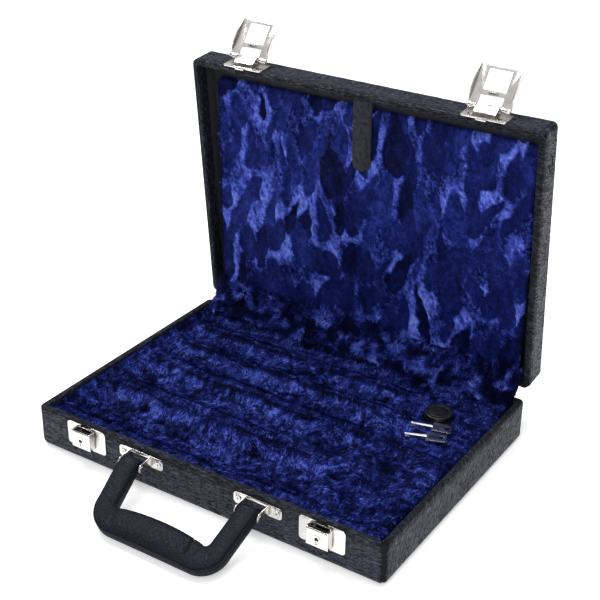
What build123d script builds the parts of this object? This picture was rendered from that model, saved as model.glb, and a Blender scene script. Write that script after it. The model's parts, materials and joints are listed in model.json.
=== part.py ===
from build123d import *
import math
import os

os.makedirs("parts", exist_ok=True)

# A hinged instrument case, stored open: a tray, a lid, two locks with hasps and a carrying handle.
# Millimetres and degrees. The origin is under the middle of the base, +X is the case's right,
# -Y its front and +Z up. Pieces of the lid are drawn on the closed case and then swung open.

# Case
CASE_W = 340.0
CASE_D = 242.0
BASE_H = 38.0
LID_H = 28.0
RIM_GAP = 0.3
LID_OPEN = 84.5
SKIN = 1.0
WALL_BOARD = 4.6
FLOOR_BOARD = 3.0
TURN_IN = 0.6
TURN_IN_DEPTH = 12.0
CORNER_R = 5.0
RIM_R = 2.2
LINING = 0.6
FRONT = -CASE_D / 2
REAR = CASE_D / 2
LID_Z = BASE_H + RIM_GAP
INNER_X = CASE_W / 2 - SKIN - WALL_BOARD
INNER_Y = CASE_D / 2 - SKIN - WALL_BOARD
CAVITY_X = INNER_X - TURN_IN
CAVITY_Y = INNER_Y - TURN_IN
FLOOR_Z = SKIN + FLOOR_BOARD

# Screws
SCREW_R, SCREW_LEN = 1.3, 4.6
SCREW_HEAD_R, SCREW_HEAD_T, SCREW_HEAD_ROUND = 2.6, 0.8, 0.5
SLOT_LEN, SLOT_W, SLOT_DEEP = 3.0, 0.5, 0.35

# Rear hinges
HINGE_X = 105.0
HINGE_LEN = 44.0
HINGE_Y = 127.2
HINGE_Z = BASE_H + RIM_GAP / 2
KNUCKLE_R = 2.6
HINGE_PIN_R = 1.25
RUN_FIT = 0.05
LEAF_T = 1.0
LEAF_LOW = 16.0
LEAF_TOP = 31.0
LEAF_ROUND = 2.0
NECK_DROP = 1.2
NECK_OUT, NECK_IN, NECK_LOW = 1.4, 0.2, 1.85
KNUCKLES = 5
KNUCKLE_GAP = 0.15
HINGE_SCREWS = [(-15.0, 20.0), (0.0, 23.5), (15.0, 20.0)]

# Locks
LOCK_X = 116.0
PLATE_T = 0.9
LOCK_LOW, LOCK_TOP = 14.6, 36.4
LOCK_HALF = 20.5
LOCK_ROUND = 3.0
NOTCH_HALF, NOTCH_DEEP = 5.25, 1.9
BOX_HALF = 9.8
BOX_LOW, BOX_TOP = 18.6, 34.6
BOX_DEPTH = 7.5
BOX_WALL = 0.8
BOX_ROUND = 1.2
BOX_LIP, BOX_BACK_LIP = 0.8, 0.7
KEYHOLE_Z = 26.0
KEYHOLE_R, KEYHOLE_HALF, KEYHOLE_DROP = 1.8, 0.85, 4.8
ARC_R, ARC_W, ARC_RISE = 3.7, 0.7, 0.3
BOLT_HALF, BOLT_T = 2.8, 1.0
BOLT_LOW, BOLT_TOP = 24.0, 34.2
BOLT_GAP = 0.1

# The spring, as distances out from the lock plate and up from the box's lower edge
SPRING_LINE = [(0.0, 2.2), (2.2, 3.2), (2.9, 5.2), (2.9, 14.4)]
SPRING_HALF, SPRING_T = 7.0, 0.5

# Hasps, on the closed lid
HASP_PLATE_HALF = 20.0
HASP_PLATE_T = 0.8
HASP_PLATE_LOW, HASP_PLATE_TOP = LID_Z + 0.4, LID_Z + 18.4
HASP_PLATE_ROUND = 2.5
TONGUE_HALF, TONGUE_OUT, TONGUE_IN = 4.5, 0.95, 0.2
TONGUE_LOW, TONGUE_LAP = LID_Z - 2.6, 1.0
HASP_PIN_Z = LID_Z + 12.0
HASP_PIN_Y = FRONT - 5.8
HASP_PIN_R = 1.2
HASP_HALF = 19.3
HASP_LEN = 35.8
HASP_T = 0.9
HASP_OPEN = 133.0
HASP_ROLL_R = 2.1
HASP_ROUND = 3.0
ROLL_IN, ROLL_OUT = 10.9, 18.9
WINDOW_HALF = 10.2
BAR_TOP, BAR_LOW = 9.7, 14.0
WINDOW_END = 32.2
TAB_HALF, TAB_REACH, TAB_T = 4.0, 2.5, 0.8
LIP_HALF, LIP_OUT = 15.0, 2.0
HASP_PIN_HALF = 18.6

# The hinge block, as distances out from the front and up from the rim
BLOCK_LINE = [(0.6, 2.8), (4.2, 4.0), (7.8, 11.1), (5.8, 12.0), (5.6, 14.2), (0.6, 15.5)]
BLOCK_HALF, BLOCK_ROLL_R = 9.6, 2.2

# The hasp's side flanges, as distances in from the sheet and down from the pin
FLANGE_LINE = [(0.0, 0.0), (0.0, 4.0), (1.9, 6.0), (3.4, 13.0), (3.4, 22.0), (1.4, 32.8), (0.0, 32.8)]
FLANGE_T = 0.9

# Handle
HANDLE_X = 57.5
PIVOT_Y, PIVOT_Z = -134.0, 28.5
HANDLE_PIN_R = 1.5
HANDLE_REACH = 49.0
HANDLE_TILT = 21.8
HANDLE_FIT = 0.08
HANDLE_TAPER, HANDLE_LEAN = 3.5, 5.0
ARM_W, ARM_T = 18.0, 12.5
ARM_STRAIGHT = 6.0
BEND_R = 14.0
GRIP_OUT, GRIP_IN, GRIP_END_IN = 62.5, 35.0, 39.5
GRIP_T = 16.4
OUTER_BEND, INNER_BEND = 24.0, 4.0
COVER_ROUND, GRIP_ROUND = 4.5, 7.8
SWELL_X, SWELL_IN, SWELL_T, SWELL_ROUND = 27.3, 36.6, 15.2, 6.8
EYE_ROUND = 2.0
CORE_W, CORE_T = 11.0, 2.0
CORE_EYE_R = 3.4
BRACKET_HALF = 22.5
BRACKET_LOW, BRACKET_TOP = 22.8, 33.5
BRACKET_ROUND, BRACKET_BRIDGE = 3.2, 2.9
BRACKET_SCREW_X, BRACKET_SCREW_Z = 18.0, 28.2
EAR_IN, EAR_T, EAR_R = 10.1, 0.8, 3.6
EAR_ROOT_LOW, EAR_ROOT_TOP = 23.2, 33.0
PIN_HEAD_R, PIN_HEAD_T = 2.4, 0.8

# Bed: channels along the case as (y, radius, x start, x end)
BED_TOP = 33.0
PILE = 2.0
BED_BAND_TOP = 36.5
BED_GAP, BED_SKIRT, BED_BAND = 0.2, 1.6, 3.0
CHANNELS = [
    (-73.0, 25.0, -152.0, 78.0),
    (-15.0, 17.0, -152.0, 40.0),
    (-15.0, 17.0, 54.0, 84.0),
    (30.0, 15.0, -152.0, 66.0),
    (66.0, 13.0, -152.0, -24.0),
    (66.0, 13.0, -8.0, 80.0),
    (99.0, 10.5, -152.0, 84.0),
]
CROSS_CHANNEL = (122.0, 18.0, -100.0, 2.0)
TRAY_X = (95.0, 158.0)
TRAY_Y = (12.0, 100.0)
TRAY_Z = 28.0

# Loose pieces
POT_X, POT_Y = 114.0, 68.3
POT_R = 11.6
POT_LID_R = 12.2
POT_Z = 17.5
POT_H, POT_ROUND = 10.0, 0.7
NECK_SET, NECK_H = 1.3, 4.0
POT_WALL, POT_FLOOR = 1.0, 1.6
POT_LID_LOW, POT_LID_TOP, POT_LID_BORE = 10.4, 16.5, 14.4
POT_LID_ROUND = 0.8
POT_RING_R, POT_RING_W, POT_RING_DEEP = 9.2, 0.8, 0.4
POT_RECESS_GAP, POT_UNDER = 0.7, 0.1
KEYS = [("key_1", 100.6, 44.6, 15.0), ("key_2", 103.7, 27.0, 20.7)]
KEY_Z = 30.0
KEY_SHANK = 18.7
KEY_TIP_R, KEY_SHOULDER_R = 1.2, 1.85
BOW_LEN, BOW_W, BOW_T, BOW_R = 17.0, 12.5, 1.2, 1.0
BOW_HOLE_R, BOW_HOLE_IN = 2.2, 4.5
BOW_LAP = 0.5
BIT_X, BIT_REACH, BIT_T = (1.0, 4.2), 4.4, 1.2
BIT_CUT_X, BIT_CUT = (2.2, 3.0), 1.0

# Lid panel: lower front edge on the closed lid, as a distance from the rear and from the rim
PANEL_HALF = 157.5
PANEL_V, PANEL_W = 12.0, 2.8
PANEL_LEN = 209.5
PANEL_SLANT = 4.4
PANEL_T = 3.8
PANEL_BOARD = 2.0
PANEL_EDGE = 1.6
PANEL_ROUND, PANEL_BEND = 8.0, 1.4
STRAP_HALF = 9.5
STRAP_X = -3.0
STRAP_T = 1.6
STRAP_LEN, STRAP_LOOP = 57.9, 7.0
STRAP_GAP, STRAP_ROOT = 0.3, 0.2
STRAP_TIP_R = 8.5

# Gusset, as distances behind the rear wall's outer face and above the base's rim
GUSSET_LINE = [(-7.9, -1.5), (-7.9, 1.2), (-4.6, 2.0), (0.4, 3.4), (3.6, 7.4), (3.7, 13.4), (6.2, 15.8)]
GUSSET_T = 2.2


def box(x0, x1, y0, y1, z0, z1):
    """A block between two opposite corners."""
    centre = Pos((x0 + x1) / 2, (y0 + y1) / 2, (z0 + z1) / 2)
    return centre * Box(x1 - x0, y1 - y0, z1 - z0)


def slab(half_x, half_y, z0, z1):
    """A block about the case's middle."""
    return box(-half_x, half_x, -half_y, half_y, z0, z1)


def rod_x(x0, x1, y, z, radius):
    """A cylinder along X."""
    return Pos((x0 + x1) / 2, y, z) * Rot(0, 90, 0) * Cylinder(radius, x1 - x0)


def rod_y(x, y0, y1, z, radius):
    """A cylinder along Y."""
    return Pos(x, (y0 + y1) / 2, z) * Rot(90, 0, 0) * Cylinder(radius, abs(y1 - y0))


def profile_x(points, x0, x1):
    """A closed outline of (y, z) points, carried along X."""
    face = make_face(Plane.YZ * Polyline(*points, close=True))
    return Pos(x0, 0, 0) * extrude(face, x1 - x0, dir=(1, 0, 0))


def strip_x(points, thickness, x0, x1):
    """A bent strip along X, centred on an open line of (y, z) points."""
    sides = ([], [])
    for i, point in enumerate(points):
        before = Vector(*points[max(i - 1, 0)])
        after = Vector(*points[min(i + 1, len(points) - 1)])
        here = Vector(*point)
        lead = (here - before).normalized() if i else (after - here).normalized()
        trail = (after - here).normalized() if i < len(points) - 1 else lead
        mid = (lead + trail).normalized()
        reach = thickness / 2 / mid.dot(lead)
        for side, sign in zip(sides, (1, -1)):
            side.append((here.X - sign * mid.Y * reach, here.Y + sign * mid.X * reach))
    return profile_x(sides[0] + sides[1][::-1], x0, x1)


def swing_lid(shape):
    """From the closed lid to the open one."""
    return shape.rotate(Axis((0, HINGE_Y, HINGE_Z), (1, 0, 0)), -LID_OPEN)


def swing_hasp(shape):
    """From a fastened hasp to one thrown open, on the closed lid."""
    return shape.rotate(Axis((0, HASP_PIN_Y, HASP_PIN_Z), (1, 0, 0)), -HASP_OPEN)


def save(name, shape):
    export_step(shape, f"parts/{name}.step")


def rounded_tray_block(half_x, half_y, z0, z1, corner_r, rim_r):
    """The tray's outer form: rounded corners and floor edges, and a softer round at the rim."""
    block = slab(half_x, half_y, z0, z1)
    edges = block.edges().filter_by(Axis.Z) + block.faces().sort_by(Axis.Z)[0].edges()
    block = fillet(edges, corner_r)
    return fillet(block.faces().sort_by(Axis.Z)[-1].edges(), rim_r)


def tray(height):
    """Boards and covering of one half of the case, standing on its outer face."""
    half_x, half_y = CASE_W / 2, CASE_D / 2
    outside = rounded_tray_block(half_x, half_y, 0, height, CORNER_R, RIM_R)
    boards = rounded_tray_block(
        half_x - SKIN, half_y - SKIN, SKIN, height - SKIN, CORNER_R - SKIN, RIM_R - SKIN
    )
    walls = boards & slab(half_x, half_y, FLOOR_Z, height)
    walls -= slab(INNER_X, INNER_Y, FLOOR_Z, height)
    turn_low = height - TURN_IN_DEPTH
    turn_in = slab(INNER_X, INNER_Y, turn_low, height - SKIN)
    mouth = slab(CAVITY_X, CAVITY_Y, turn_low, height)
    flat = slab(half_x - CORNER_R, half_y - CORNER_R, 0, SKIN)
    return {
        "floor_board": boards & slab(half_x, half_y, SKIN, FLOOR_Z),
        "minus_y_board": walls & box(-half_x, half_x, -half_y, -INNER_Y, 0, height),
        "plus_y_board": walls & box(-half_x, half_x, INNER_Y, half_y, 0, height),
        "left_board": walls & box(-half_x, -INNER_X, -INNER_Y, INNER_Y, 0, height),
        "right_board": walls & box(INNER_X, half_x, -INNER_Y, INNER_Y, 0, height),
        "band": outside - boards - flat + turn_in - mouth,
        "flat_cover": flat,
    }


def screw_y(x, face_y, z, out):
    """A wood screw with a low head, its shank going into the wall behind the face."""
    top_y = face_y + out * SCREW_HEAD_T
    shank = rod_y(x, face_y, face_y - out * SCREW_LEN, z, SCREW_R)
    head = rod_y(x, face_y, top_y, z, SCREW_HEAD_R)
    head = fillet(head.edges().sort_by(Axis.Y)[-1 if out > 0 else 0], SCREW_HEAD_ROUND)
    slot_y = sorted((top_y - out * SLOT_DEEP, top_y))
    for half_w, half_h in ((SLOT_LEN / 2, SLOT_W / 2), (SLOT_W / 2, SLOT_LEN / 2)):
        head -= box(x - half_w, x + half_w, *slot_y, z - half_h, z + half_h)
    return head + shank


def mirror_to_lid(shape):
    """The same piece on the closed lid, mirrored across the parting plane."""
    return mirror(shape, Plane.XY.offset(HINGE_Z))


def hinge_leaf(x, knuckles, bore):
    """A plate on the base's rear face with its own knuckles."""
    half = HINGE_LEN / 2
    leaf = box(x - half, x + half, REAR, REAR + LEAF_T, LEAF_LOW, LEAF_TOP)
    leaf = fillet(leaf.edges().filter_by(Axis.Y).group_by(Axis.Z)[0], LEAF_ROUND)
    neck = [
        (REAR, LEAF_TOP),
        (REAR + LEAF_T, LEAF_TOP - NECK_DROP),
        (HINGE_Y + NECK_OUT, HINGE_Z - NECK_LOW),
        (HINGE_Y - NECK_IN, HINGE_Z - NECK_LOW),
    ]
    pitch = HINGE_LEN / KNUCKLES
    for k in knuckles:
        x0 = x - half + k * pitch + KNUCKLE_GAP
        x1 = x - half + (k + 1) * pitch - KNUCKLE_GAP
        leaf += profile_x(neck, x0, x1)
        leaf += rod_x(x0, x1, HINGE_Y, HINGE_Z, KNUCKLE_R)
    return leaf - rod_x(x - half, x + half, HINGE_Y, HINGE_Z, bore)


def lock_plate(x):
    plate = box(x - LOCK_HALF, x + LOCK_HALF, FRONT - PLATE_T, FRONT, LOCK_LOW, LOCK_TOP)
    plate = fillet(plate.edges().filter_by(Axis.Y), LOCK_ROUND)
    notch_z = (LOCK_TOP - NOTCH_DEEP, LOCK_TOP)
    return plate - box(x - NOTCH_HALF, x + NOTCH_HALF, FRONT - PLATE_T, FRONT, *notch_z)


def lock_box(x):
    """The raised box: open at the top for the bolt, with a keyhole and a raised arc above it."""
    back_y = FRONT - PLATE_T
    front_y = back_y - BOX_DEPTH
    shell = box(x - BOX_HALF, x + BOX_HALF, front_y, back_y, BOX_LOW, BOX_TOP)
    shell = fillet(shell.faces().sort_by(Axis.Y)[0].edges(), BOX_ROUND)
    inner = BOX_HALF - BOX_WALL
    inner_y = front_y + BOX_WALL
    shell -= box(x - inner, x + inner, inner_y, back_y, BOX_LOW, BOX_TOP - BOX_WALL)
    mouth = inner - BOX_LIP
    shell -= box(x - mouth, x + mouth, inner_y, back_y - BOX_BACK_LIP, BOX_LOW, BOX_TOP)
    arc_y = (front_y + BOX_WALL / 4, front_y - ARC_RISE)
    arc = rod_y(x, *arc_y, KEYHOLE_Z, ARC_R) - rod_y(x, *arc_y, KEYHOLE_Z, ARC_R - ARC_W)
    arc -= box(x - ARC_R, x + ARC_R, front_y - ARC_RISE, back_y, KEYHOLE_Z - ARC_R, KEYHOLE_Z)
    keyhole = rod_y(x, front_y, inner_y, KEYHOLE_Z, KEYHOLE_R)
    slot_z = (KEYHOLE_Z - KEYHOLE_DROP, KEYHOLE_Z)
    slot = box(x - KEYHOLE_HALF, x + KEYHOLE_HALF, front_y, inner_y, *slot_z)
    return shell + arc - keyhole - slot


def lock_spring(x):
    """A bent leaf on the plate that presses on the bolt."""
    back_y = FRONT - PLATE_T
    line = [(back_y - out, BOX_LOW + up) for out, up in SPRING_LINE]
    spring = strip_x(line, SPRING_T, x - SPRING_HALF, x + SPRING_HALF)
    return spring & box(x - BOX_HALF, x + BOX_HALF, back_y - BOX_DEPTH, back_y, BOX_LOW, BOX_TOP)


def lock_bolt(x):
    """The bolt, low in its box; it slides up in front of the hasp's bar."""
    bolt_y = FRONT - PLATE_T - BOX_DEPTH + BOX_WALL + BOLT_GAP
    return box(x - BOLT_HALF, x + BOLT_HALF, bolt_y, bolt_y + BOLT_T, BOLT_LOW, BOLT_TOP)


def hasp_plate(x):
    """The plate on the lid's front with its pressed hinge block and lower tongue."""
    low, half = HASP_PLATE_LOW, HASP_PLATE_HALF
    plate = box(x - half, x + half, FRONT - HASP_PLATE_T, FRONT, low, HASP_PLATE_TOP)
    plate = fillet(plate.edges().filter_by(Axis.Y), HASP_PLATE_ROUND)
    tongue_y = (FRONT - TONGUE_OUT, FRONT - TONGUE_IN)
    plate += box(x - TONGUE_HALF, x + TONGUE_HALF, *tongue_y, TONGUE_LOW, low + TONGUE_LAP)
    block = [(FRONT - out, LID_Z + up) for out, up in BLOCK_LINE]
    x0, x1 = x - BLOCK_HALF, x + BLOCK_HALF
    plate += profile_x(block, x0, x1)
    plate += rod_x(x0, x1, HASP_PIN_Y, HASP_PIN_Z, BLOCK_ROLL_R)
    return plate - rod_x(x0, x1, HASP_PIN_Y, HASP_PIN_Z, HASP_PIN_R)


def hasp(x):
    """The swinging hasp, fastened: rolled knuckles, side flanges, bar, window and finger lip."""
    y_out, y_in = HASP_PIN_Y - HASP_T / 2, HASP_PIN_Y + HASP_T / 2
    end_z = HASP_PIN_Z - HASP_LEN
    sheet = box(x - HASP_HALF, x + HASP_HALF, y_out, y_in, end_z, HASP_PIN_Z)
    sheet = fillet(sheet.edges().filter_by(Axis.Y).group_by(Axis.Z)[0], HASP_ROUND)
    for top, low in ((0, BAR_TOP), (BAR_LOW, WINDOW_END)):
        window_z = (HASP_PIN_Z - low, HASP_PIN_Z - top)
        sheet -= box(x - WINDOW_HALF, x + WINDOW_HALF, y_out, y_in, *window_z)
    flange = [(y_in + reach, HASP_PIN_Z - down) for reach, down in FLANGE_LINE]
    flange += [(y_out, flange[-1][1]), (y_out, HASP_PIN_Z)]
    for side in (-1, 1):
        edge = sorted((x + side * (HASP_HALF - FLANGE_T), x + side * HASP_HALF))
        roll = sorted((x + side * ROLL_IN, x + side * ROLL_OUT))
        sheet += profile_x(flange, *edge)
        sheet += rod_x(*roll, HASP_PIN_Y, HASP_PIN_Z, HASP_ROLL_R)
    tab_z = HASP_PIN_Z - (BAR_TOP + BAR_LOW) / 2
    tab_z = (tab_z - TAB_T / 2, tab_z + TAB_T / 2)
    sheet += box(x - TAB_HALF, x + TAB_HALF, y_in, y_in + TAB_REACH, *tab_z)
    sheet += box(x - LIP_HALF, x + LIP_HALF, y_out - LIP_OUT, y_out, end_z, end_z + HASP_T)
    bore_x = (x - HASP_HALF, x + HASP_HALF)
    return sheet - rod_x(*bore_x, HASP_PIN_Y, HASP_PIN_Z, HASP_PIN_R + RUN_FIT)


def bracket(x):
    """A plate with two lobes, and two ears that hold the handle's pin."""
    plate_y = FRONT - PLATE_T
    half = BRACKET_HALF
    plate = box(x - half, x + half, plate_y, FRONT, BRACKET_LOW, BRACKET_TOP)
    plate = fillet(plate.edges().filter_by(Axis.Y), BRACKET_ROUND)
    gap_z = (BRACKET_LOW, BRACKET_TOP - BRACKET_BRIDGE)
    plate -= box(x - EAR_IN, x + EAR_IN, plate_y, FRONT, *gap_z)
    ear = [
        (FRONT, EAR_ROOT_LOW),
        (FRONT, EAR_ROOT_TOP),
        (PIVOT_Y, PIVOT_Z + EAR_R),
        (PIVOT_Y, PIVOT_Z - EAR_R),
    ]
    ear_out = EAR_IN + EAR_T
    for side in (-1, 1):
        edge = sorted((x + side * EAR_IN, x + side * ear_out))
        plate += profile_x(ear, *edge)
        plate += rod_x(*edge, PIVOT_Y, PIVOT_Z, EAR_R)
    return plate - rod_x(x - ear_out, x + ear_out, PIVOT_Y, PIVOT_Z, HANDLE_PIN_R)


def handle_pin(x):
    reach = EAR_IN + EAR_T
    pin = rod_x(x - reach, x + reach, PIVOT_Y, PIVOT_Z, HANDLE_PIN_R)
    for side in (-1, 1):
        edge = sorted((x + side * reach, x + side * (reach + PIN_HEAD_T)))
        pin += rod_x(*edge, PIVOT_Y, PIVOT_Z, PIN_HEAD_R)
    return pin


def in_handle(shape):
    """From a level handle on the origin to its place on the pins, hanging forward."""
    return Pos(0, PIVOT_Y, PIVOT_Z) * Rot(HANDLE_TILT, 0, 0) * shape


def leaning(x, y):
    """A point of the level handle, drawn a little to the right the further it is from the pins."""
    return x + HANDLE_LEAN * max(0, -y - ARM_STRAIGHT) / GRIP_OUT, y


def handle_core():
    """A flat steel strip bent to the handle's line, with an eye round each pin."""
    pins = [(side * HANDLE_X, 0) for side in (-1, 1)]
    necks = [(side * HANDLE_X, -ARM_STRAIGHT) for side in (-1, 1)]
    bends = [leaning(side * (HANDLE_X - HANDLE_TAPER), -HANDLE_REACH) for side in (-1, 1)]
    line = FilletPolyline(pins[0], necks[0], *bends, necks[1], pins[1], radius=(BEND_R,) * 4)
    core = extrude(trace(line, CORE_W), CORE_T / 2, dir=(0, 0, 1), both=True)
    for x, y in pins:
        core += rod_x(x - CORE_W / 2, x + CORE_W / 2, 0, 0, CORE_EYE_R)
    return core


def cover_sections():
    """Outer and inner edge, thickness and rounding, from the right pin to the grip's middle."""
    out_x, in_x = HANDLE_X + ARM_W / 2, HANDLE_X - ARM_W / 2
    rows = [((out_x, y), (in_x, y), ARM_T, COVER_ROUND) for y in (0, -ARM_STRAIGHT)]
    out_x, in_x = out_x - HANDLE_TAPER, in_x - HANDLE_TAPER
    for turn in (0, 22.5, 45, 67.5, 90):
        along, down = math.cos(math.radians(turn)), math.sin(math.radians(turn))
        outer = (out_x - OUTER_BEND * (1 - along), OUTER_BEND * (1 - down) - GRIP_OUT)
        inner = (in_x - INNER_BEND * (1 - along), INNER_BEND * (1 - down) - GRIP_END_IN)
        rows.append((outer, inner, ARM_T, COVER_ROUND))
    rows.append(((SWELL_X, -GRIP_OUT), (SWELL_X, -SWELL_IN), SWELL_T, SWELL_ROUND))
    rows.append(((0, -GRIP_OUT), (0, -GRIP_IN), GRIP_T, GRIP_ROUND))
    return rows


def handle_cover():
    """The padded cover: two arms, a straight outer edge with wide bends, and a swelling grip."""
    half = cover_sections()
    other = [((-o[0], o[1]), (-i[0], i[1]), thick, r) for o, i, thick, r in half[-2::-1]]
    sections = []
    for outer, inner, thick, radius in half + other:
        outer, inner = Vector(*leaning(*outer)), Vector(*leaning(*inner))
        across = outer - inner
        plane = Plane(origin=(outer + inner) / 2, x_dir=across, z_dir=across.cross(Vector(0, 0, 1)))
        sections.append(plane * RectangleRounded(across.length, thick, radius))
    bend_end, last = len(half) - 3, len(sections) - 1
    spans = [(0, 1), (1, 2), (2, bend_end), (bend_end, last - bend_end)]
    spans += [(last - end, last - start) for start, end in spans[:3]]
    cover = [loft(sections[start : end + 1]) for start, end in spans]
    cover = cover[0] + cover[1:]
    for side in (-1, 1):
        end_x = sorted((side * HANDLE_X - ARM_W / 2, side * HANDLE_X + ARM_W / 2))
        end = rod_x(*end_x, 0, 0, ARM_T / 2)
        cover += fillet(end.edges(), EYE_ROUND)
    return cover


def bed_channels(extra):
    """Half-round channels for the instrument's joints, deeper by the pile for the core."""
    cuts = [
        rod_x(x0 - extra, x1 + extra, y, BED_TOP, radius + extra)
        for y, radius, x0, x1 in CHANNELS
    ]
    x, radius, y0, y1 = CROSS_CHANNEL
    cuts.append(rod_y(x, y0 - extra, y1 + extra, BED_TOP, radius + extra))
    tray_x = (TRAY_X[0] - extra, TRAY_X[1] + extra)
    tray_y = (TRAY_Y[0] - extra, TRAY_Y[1] + extra)
    cuts.append(box(*tray_x, *tray_y, TRAY_Z - extra, BED_BAND_TOP + 5))
    pot_low = POT_Z - POT_UNDER - extra
    recess_r = POT_LID_R + POT_RECESS_GAP + extra
    cuts.append(Pos(POT_X, POT_Y, (pot_low + BED_TOP) / 2) * Cylinder(recess_r, BED_TOP - pot_low))
    return cuts


def bed():
    """The moulded core and the plush skin over it, with a raised band along the walls."""
    core_top = BED_TOP - PILE
    inset = BED_GAP + BED_SKIRT
    block = slab(CAVITY_X - inset, CAVITY_Y - inset, FLOOR_Z, core_top)
    core = block - bed_channels(PILE)
    inset = BED_GAP + BED_BAND
    plush = slab(CAVITY_X - BED_GAP, CAVITY_Y - BED_GAP, FLOOR_Z, BED_BAND_TOP)
    plush -= slab(CAVITY_X - inset, CAVITY_Y - inset, BED_TOP, BED_BAND_TOP)
    plush = plush - block + (block - core)
    return core, plush - bed_channels(0)


def gusset():
    """The plush strip from the bed's rear band over the rear rim to the lid panel's foot."""
    line = [(REAR + out, BASE_H + up) for out, up in GUSSET_LINE]
    return strip_x(line, GUSSET_T, -PANEL_HALF, PANEL_HALF)


def in_lid_panel(shape):
    """From a flat panel, lower edge on the origin and front face down, into the closed lid."""
    shape = Rot(-PANEL_SLANT, 0, 0) * shape
    return Pos(0, REAR - PANEL_V, LID_Z + PANEL_W) * shape


def lid_panel():
    """The stiff board and the plush that wraps its front and edges."""
    edge = PANEL_EDGE
    board = box(
        -PANEL_HALF + edge, PANEL_HALF - edge, -PANEL_LEN + edge, -edge,
        PANEL_T - PANEL_BOARD, PANEL_T,
    )
    plush = box(-PANEL_HALF, PANEL_HALF, -PANEL_LEN, 0, 0, PANEL_T)
    plush = fillet(plush.edges().filter_by(Axis.Z), PANEL_ROUND)
    plush = fillet(plush.faces().sort_by(Axis.Z)[0].edges(), PANEL_BEND)
    board = fillet(board.edges().filter_by(Axis.Z), PANEL_ROUND - edge)
    return board, plush - board


def pull_strap():
    """A leather tab: sewn into the panel's top edge, looped over it and hanging in front."""
    front_t = -STRAP_GAP - STRAP_T / 2
    root_t = PANEL_T / 2 - STRAP_ROOT
    radius = (root_t - front_t) / 2
    top = -PANEL_LEN - STRAP_LOOP
    steps = [math.pi * k / 8 for k in range(9)]
    arch = [
        (top - radius * math.sin(a), (front_t + root_t) / 2 - radius * math.cos(a)) for a in steps
    ]
    line = [(STRAP_LEN - PANEL_LEN, front_t)] + arch + [(-PANEL_LEN, root_t)]
    strap = strip_x(line, STRAP_T, STRAP_X - STRAP_HALF, STRAP_X + STRAP_HALF)
    tip = strap.faces().sort_by(Axis.Y)[-1].edges().filter_by(Axis.Z)
    return fillet(tip, STRAP_TIP_R)


def key(x, y, turn):
    """A small key with its tip on the given point: a tapered shank, a bit and a flat bow."""
    bow_x = KEY_SHANK + BOW_LEN / 2 - BOW_LAP
    bow_face = Pos(bow_x, 0, -BOW_T / 2) * RectangleRounded(BOW_LEN, BOW_W, BOW_R)
    bow = extrude(bow_face, BOW_T, dir=(0, 0, 1))
    bow -= Pos(bow_x + BOW_LEN / 2 - BOW_HOLE_IN, 0, 0) * Cylinder(BOW_HOLE_R, 2 * BOW_T)
    shank = Pos(KEY_SHANK / 2, 0, 0) * Rot(0, 90, 0) * Cone(KEY_TIP_R, KEY_SHOULDER_R, KEY_SHANK)
    bit = box(*BIT_X, -BIT_REACH, 0, -BIT_T / 2, BIT_T / 2)
    bit -= box(*BIT_CUT_X, -BIT_REACH, BIT_CUT - BIT_REACH, -BIT_T / 2, BIT_T / 2)
    return Pos(x, y, KEY_Z) * Rot(0, 0, turn) * (bow + shank + bit)


def grease_pot():
    """A small jar with a neck, and its screw lid with a ring round the top."""
    at = Pos(POT_X, POT_Y, POT_Z)
    body = at * Pos(0, 0, POT_H / 2) * Cylinder(POT_R, POT_H)
    body = fillet(body.edges().filter_by(GeomType.CIRCLE), POT_ROUND)
    neck_r, inside = POT_R - NECK_SET, POT_H + NECK_H - POT_FLOOR
    jar = body + at * Pos(0, 0, POT_H + NECK_H / 2) * Cylinder(neck_r, NECK_H)
    jar -= at * Pos(0, 0, POT_FLOOR + inside / 2) * Cylinder(neck_r - POT_WALL, inside)
    lid_h, bore_h = POT_LID_TOP - POT_LID_LOW, POT_LID_BORE - POT_LID_LOW
    lid = at * Pos(0, 0, POT_LID_LOW + lid_h / 2) * Cylinder(POT_LID_R, lid_h)
    lid = fillet(lid.edges().filter_by(GeomType.CIRCLE), POT_LID_ROUND)
    lid -= at * Pos(0, 0, POT_LID_LOW + bore_h / 2) * Cylinder(neck_r + RUN_FIT, bore_h)
    ring = Cylinder(POT_RING_R, 2 * POT_RING_DEEP)
    ring -= Cylinder(POT_RING_R - POT_RING_W, 2 * POT_RING_DEEP)
    return jar, lid - at * Pos(0, 0, POT_LID_TOP) * ring


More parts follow.
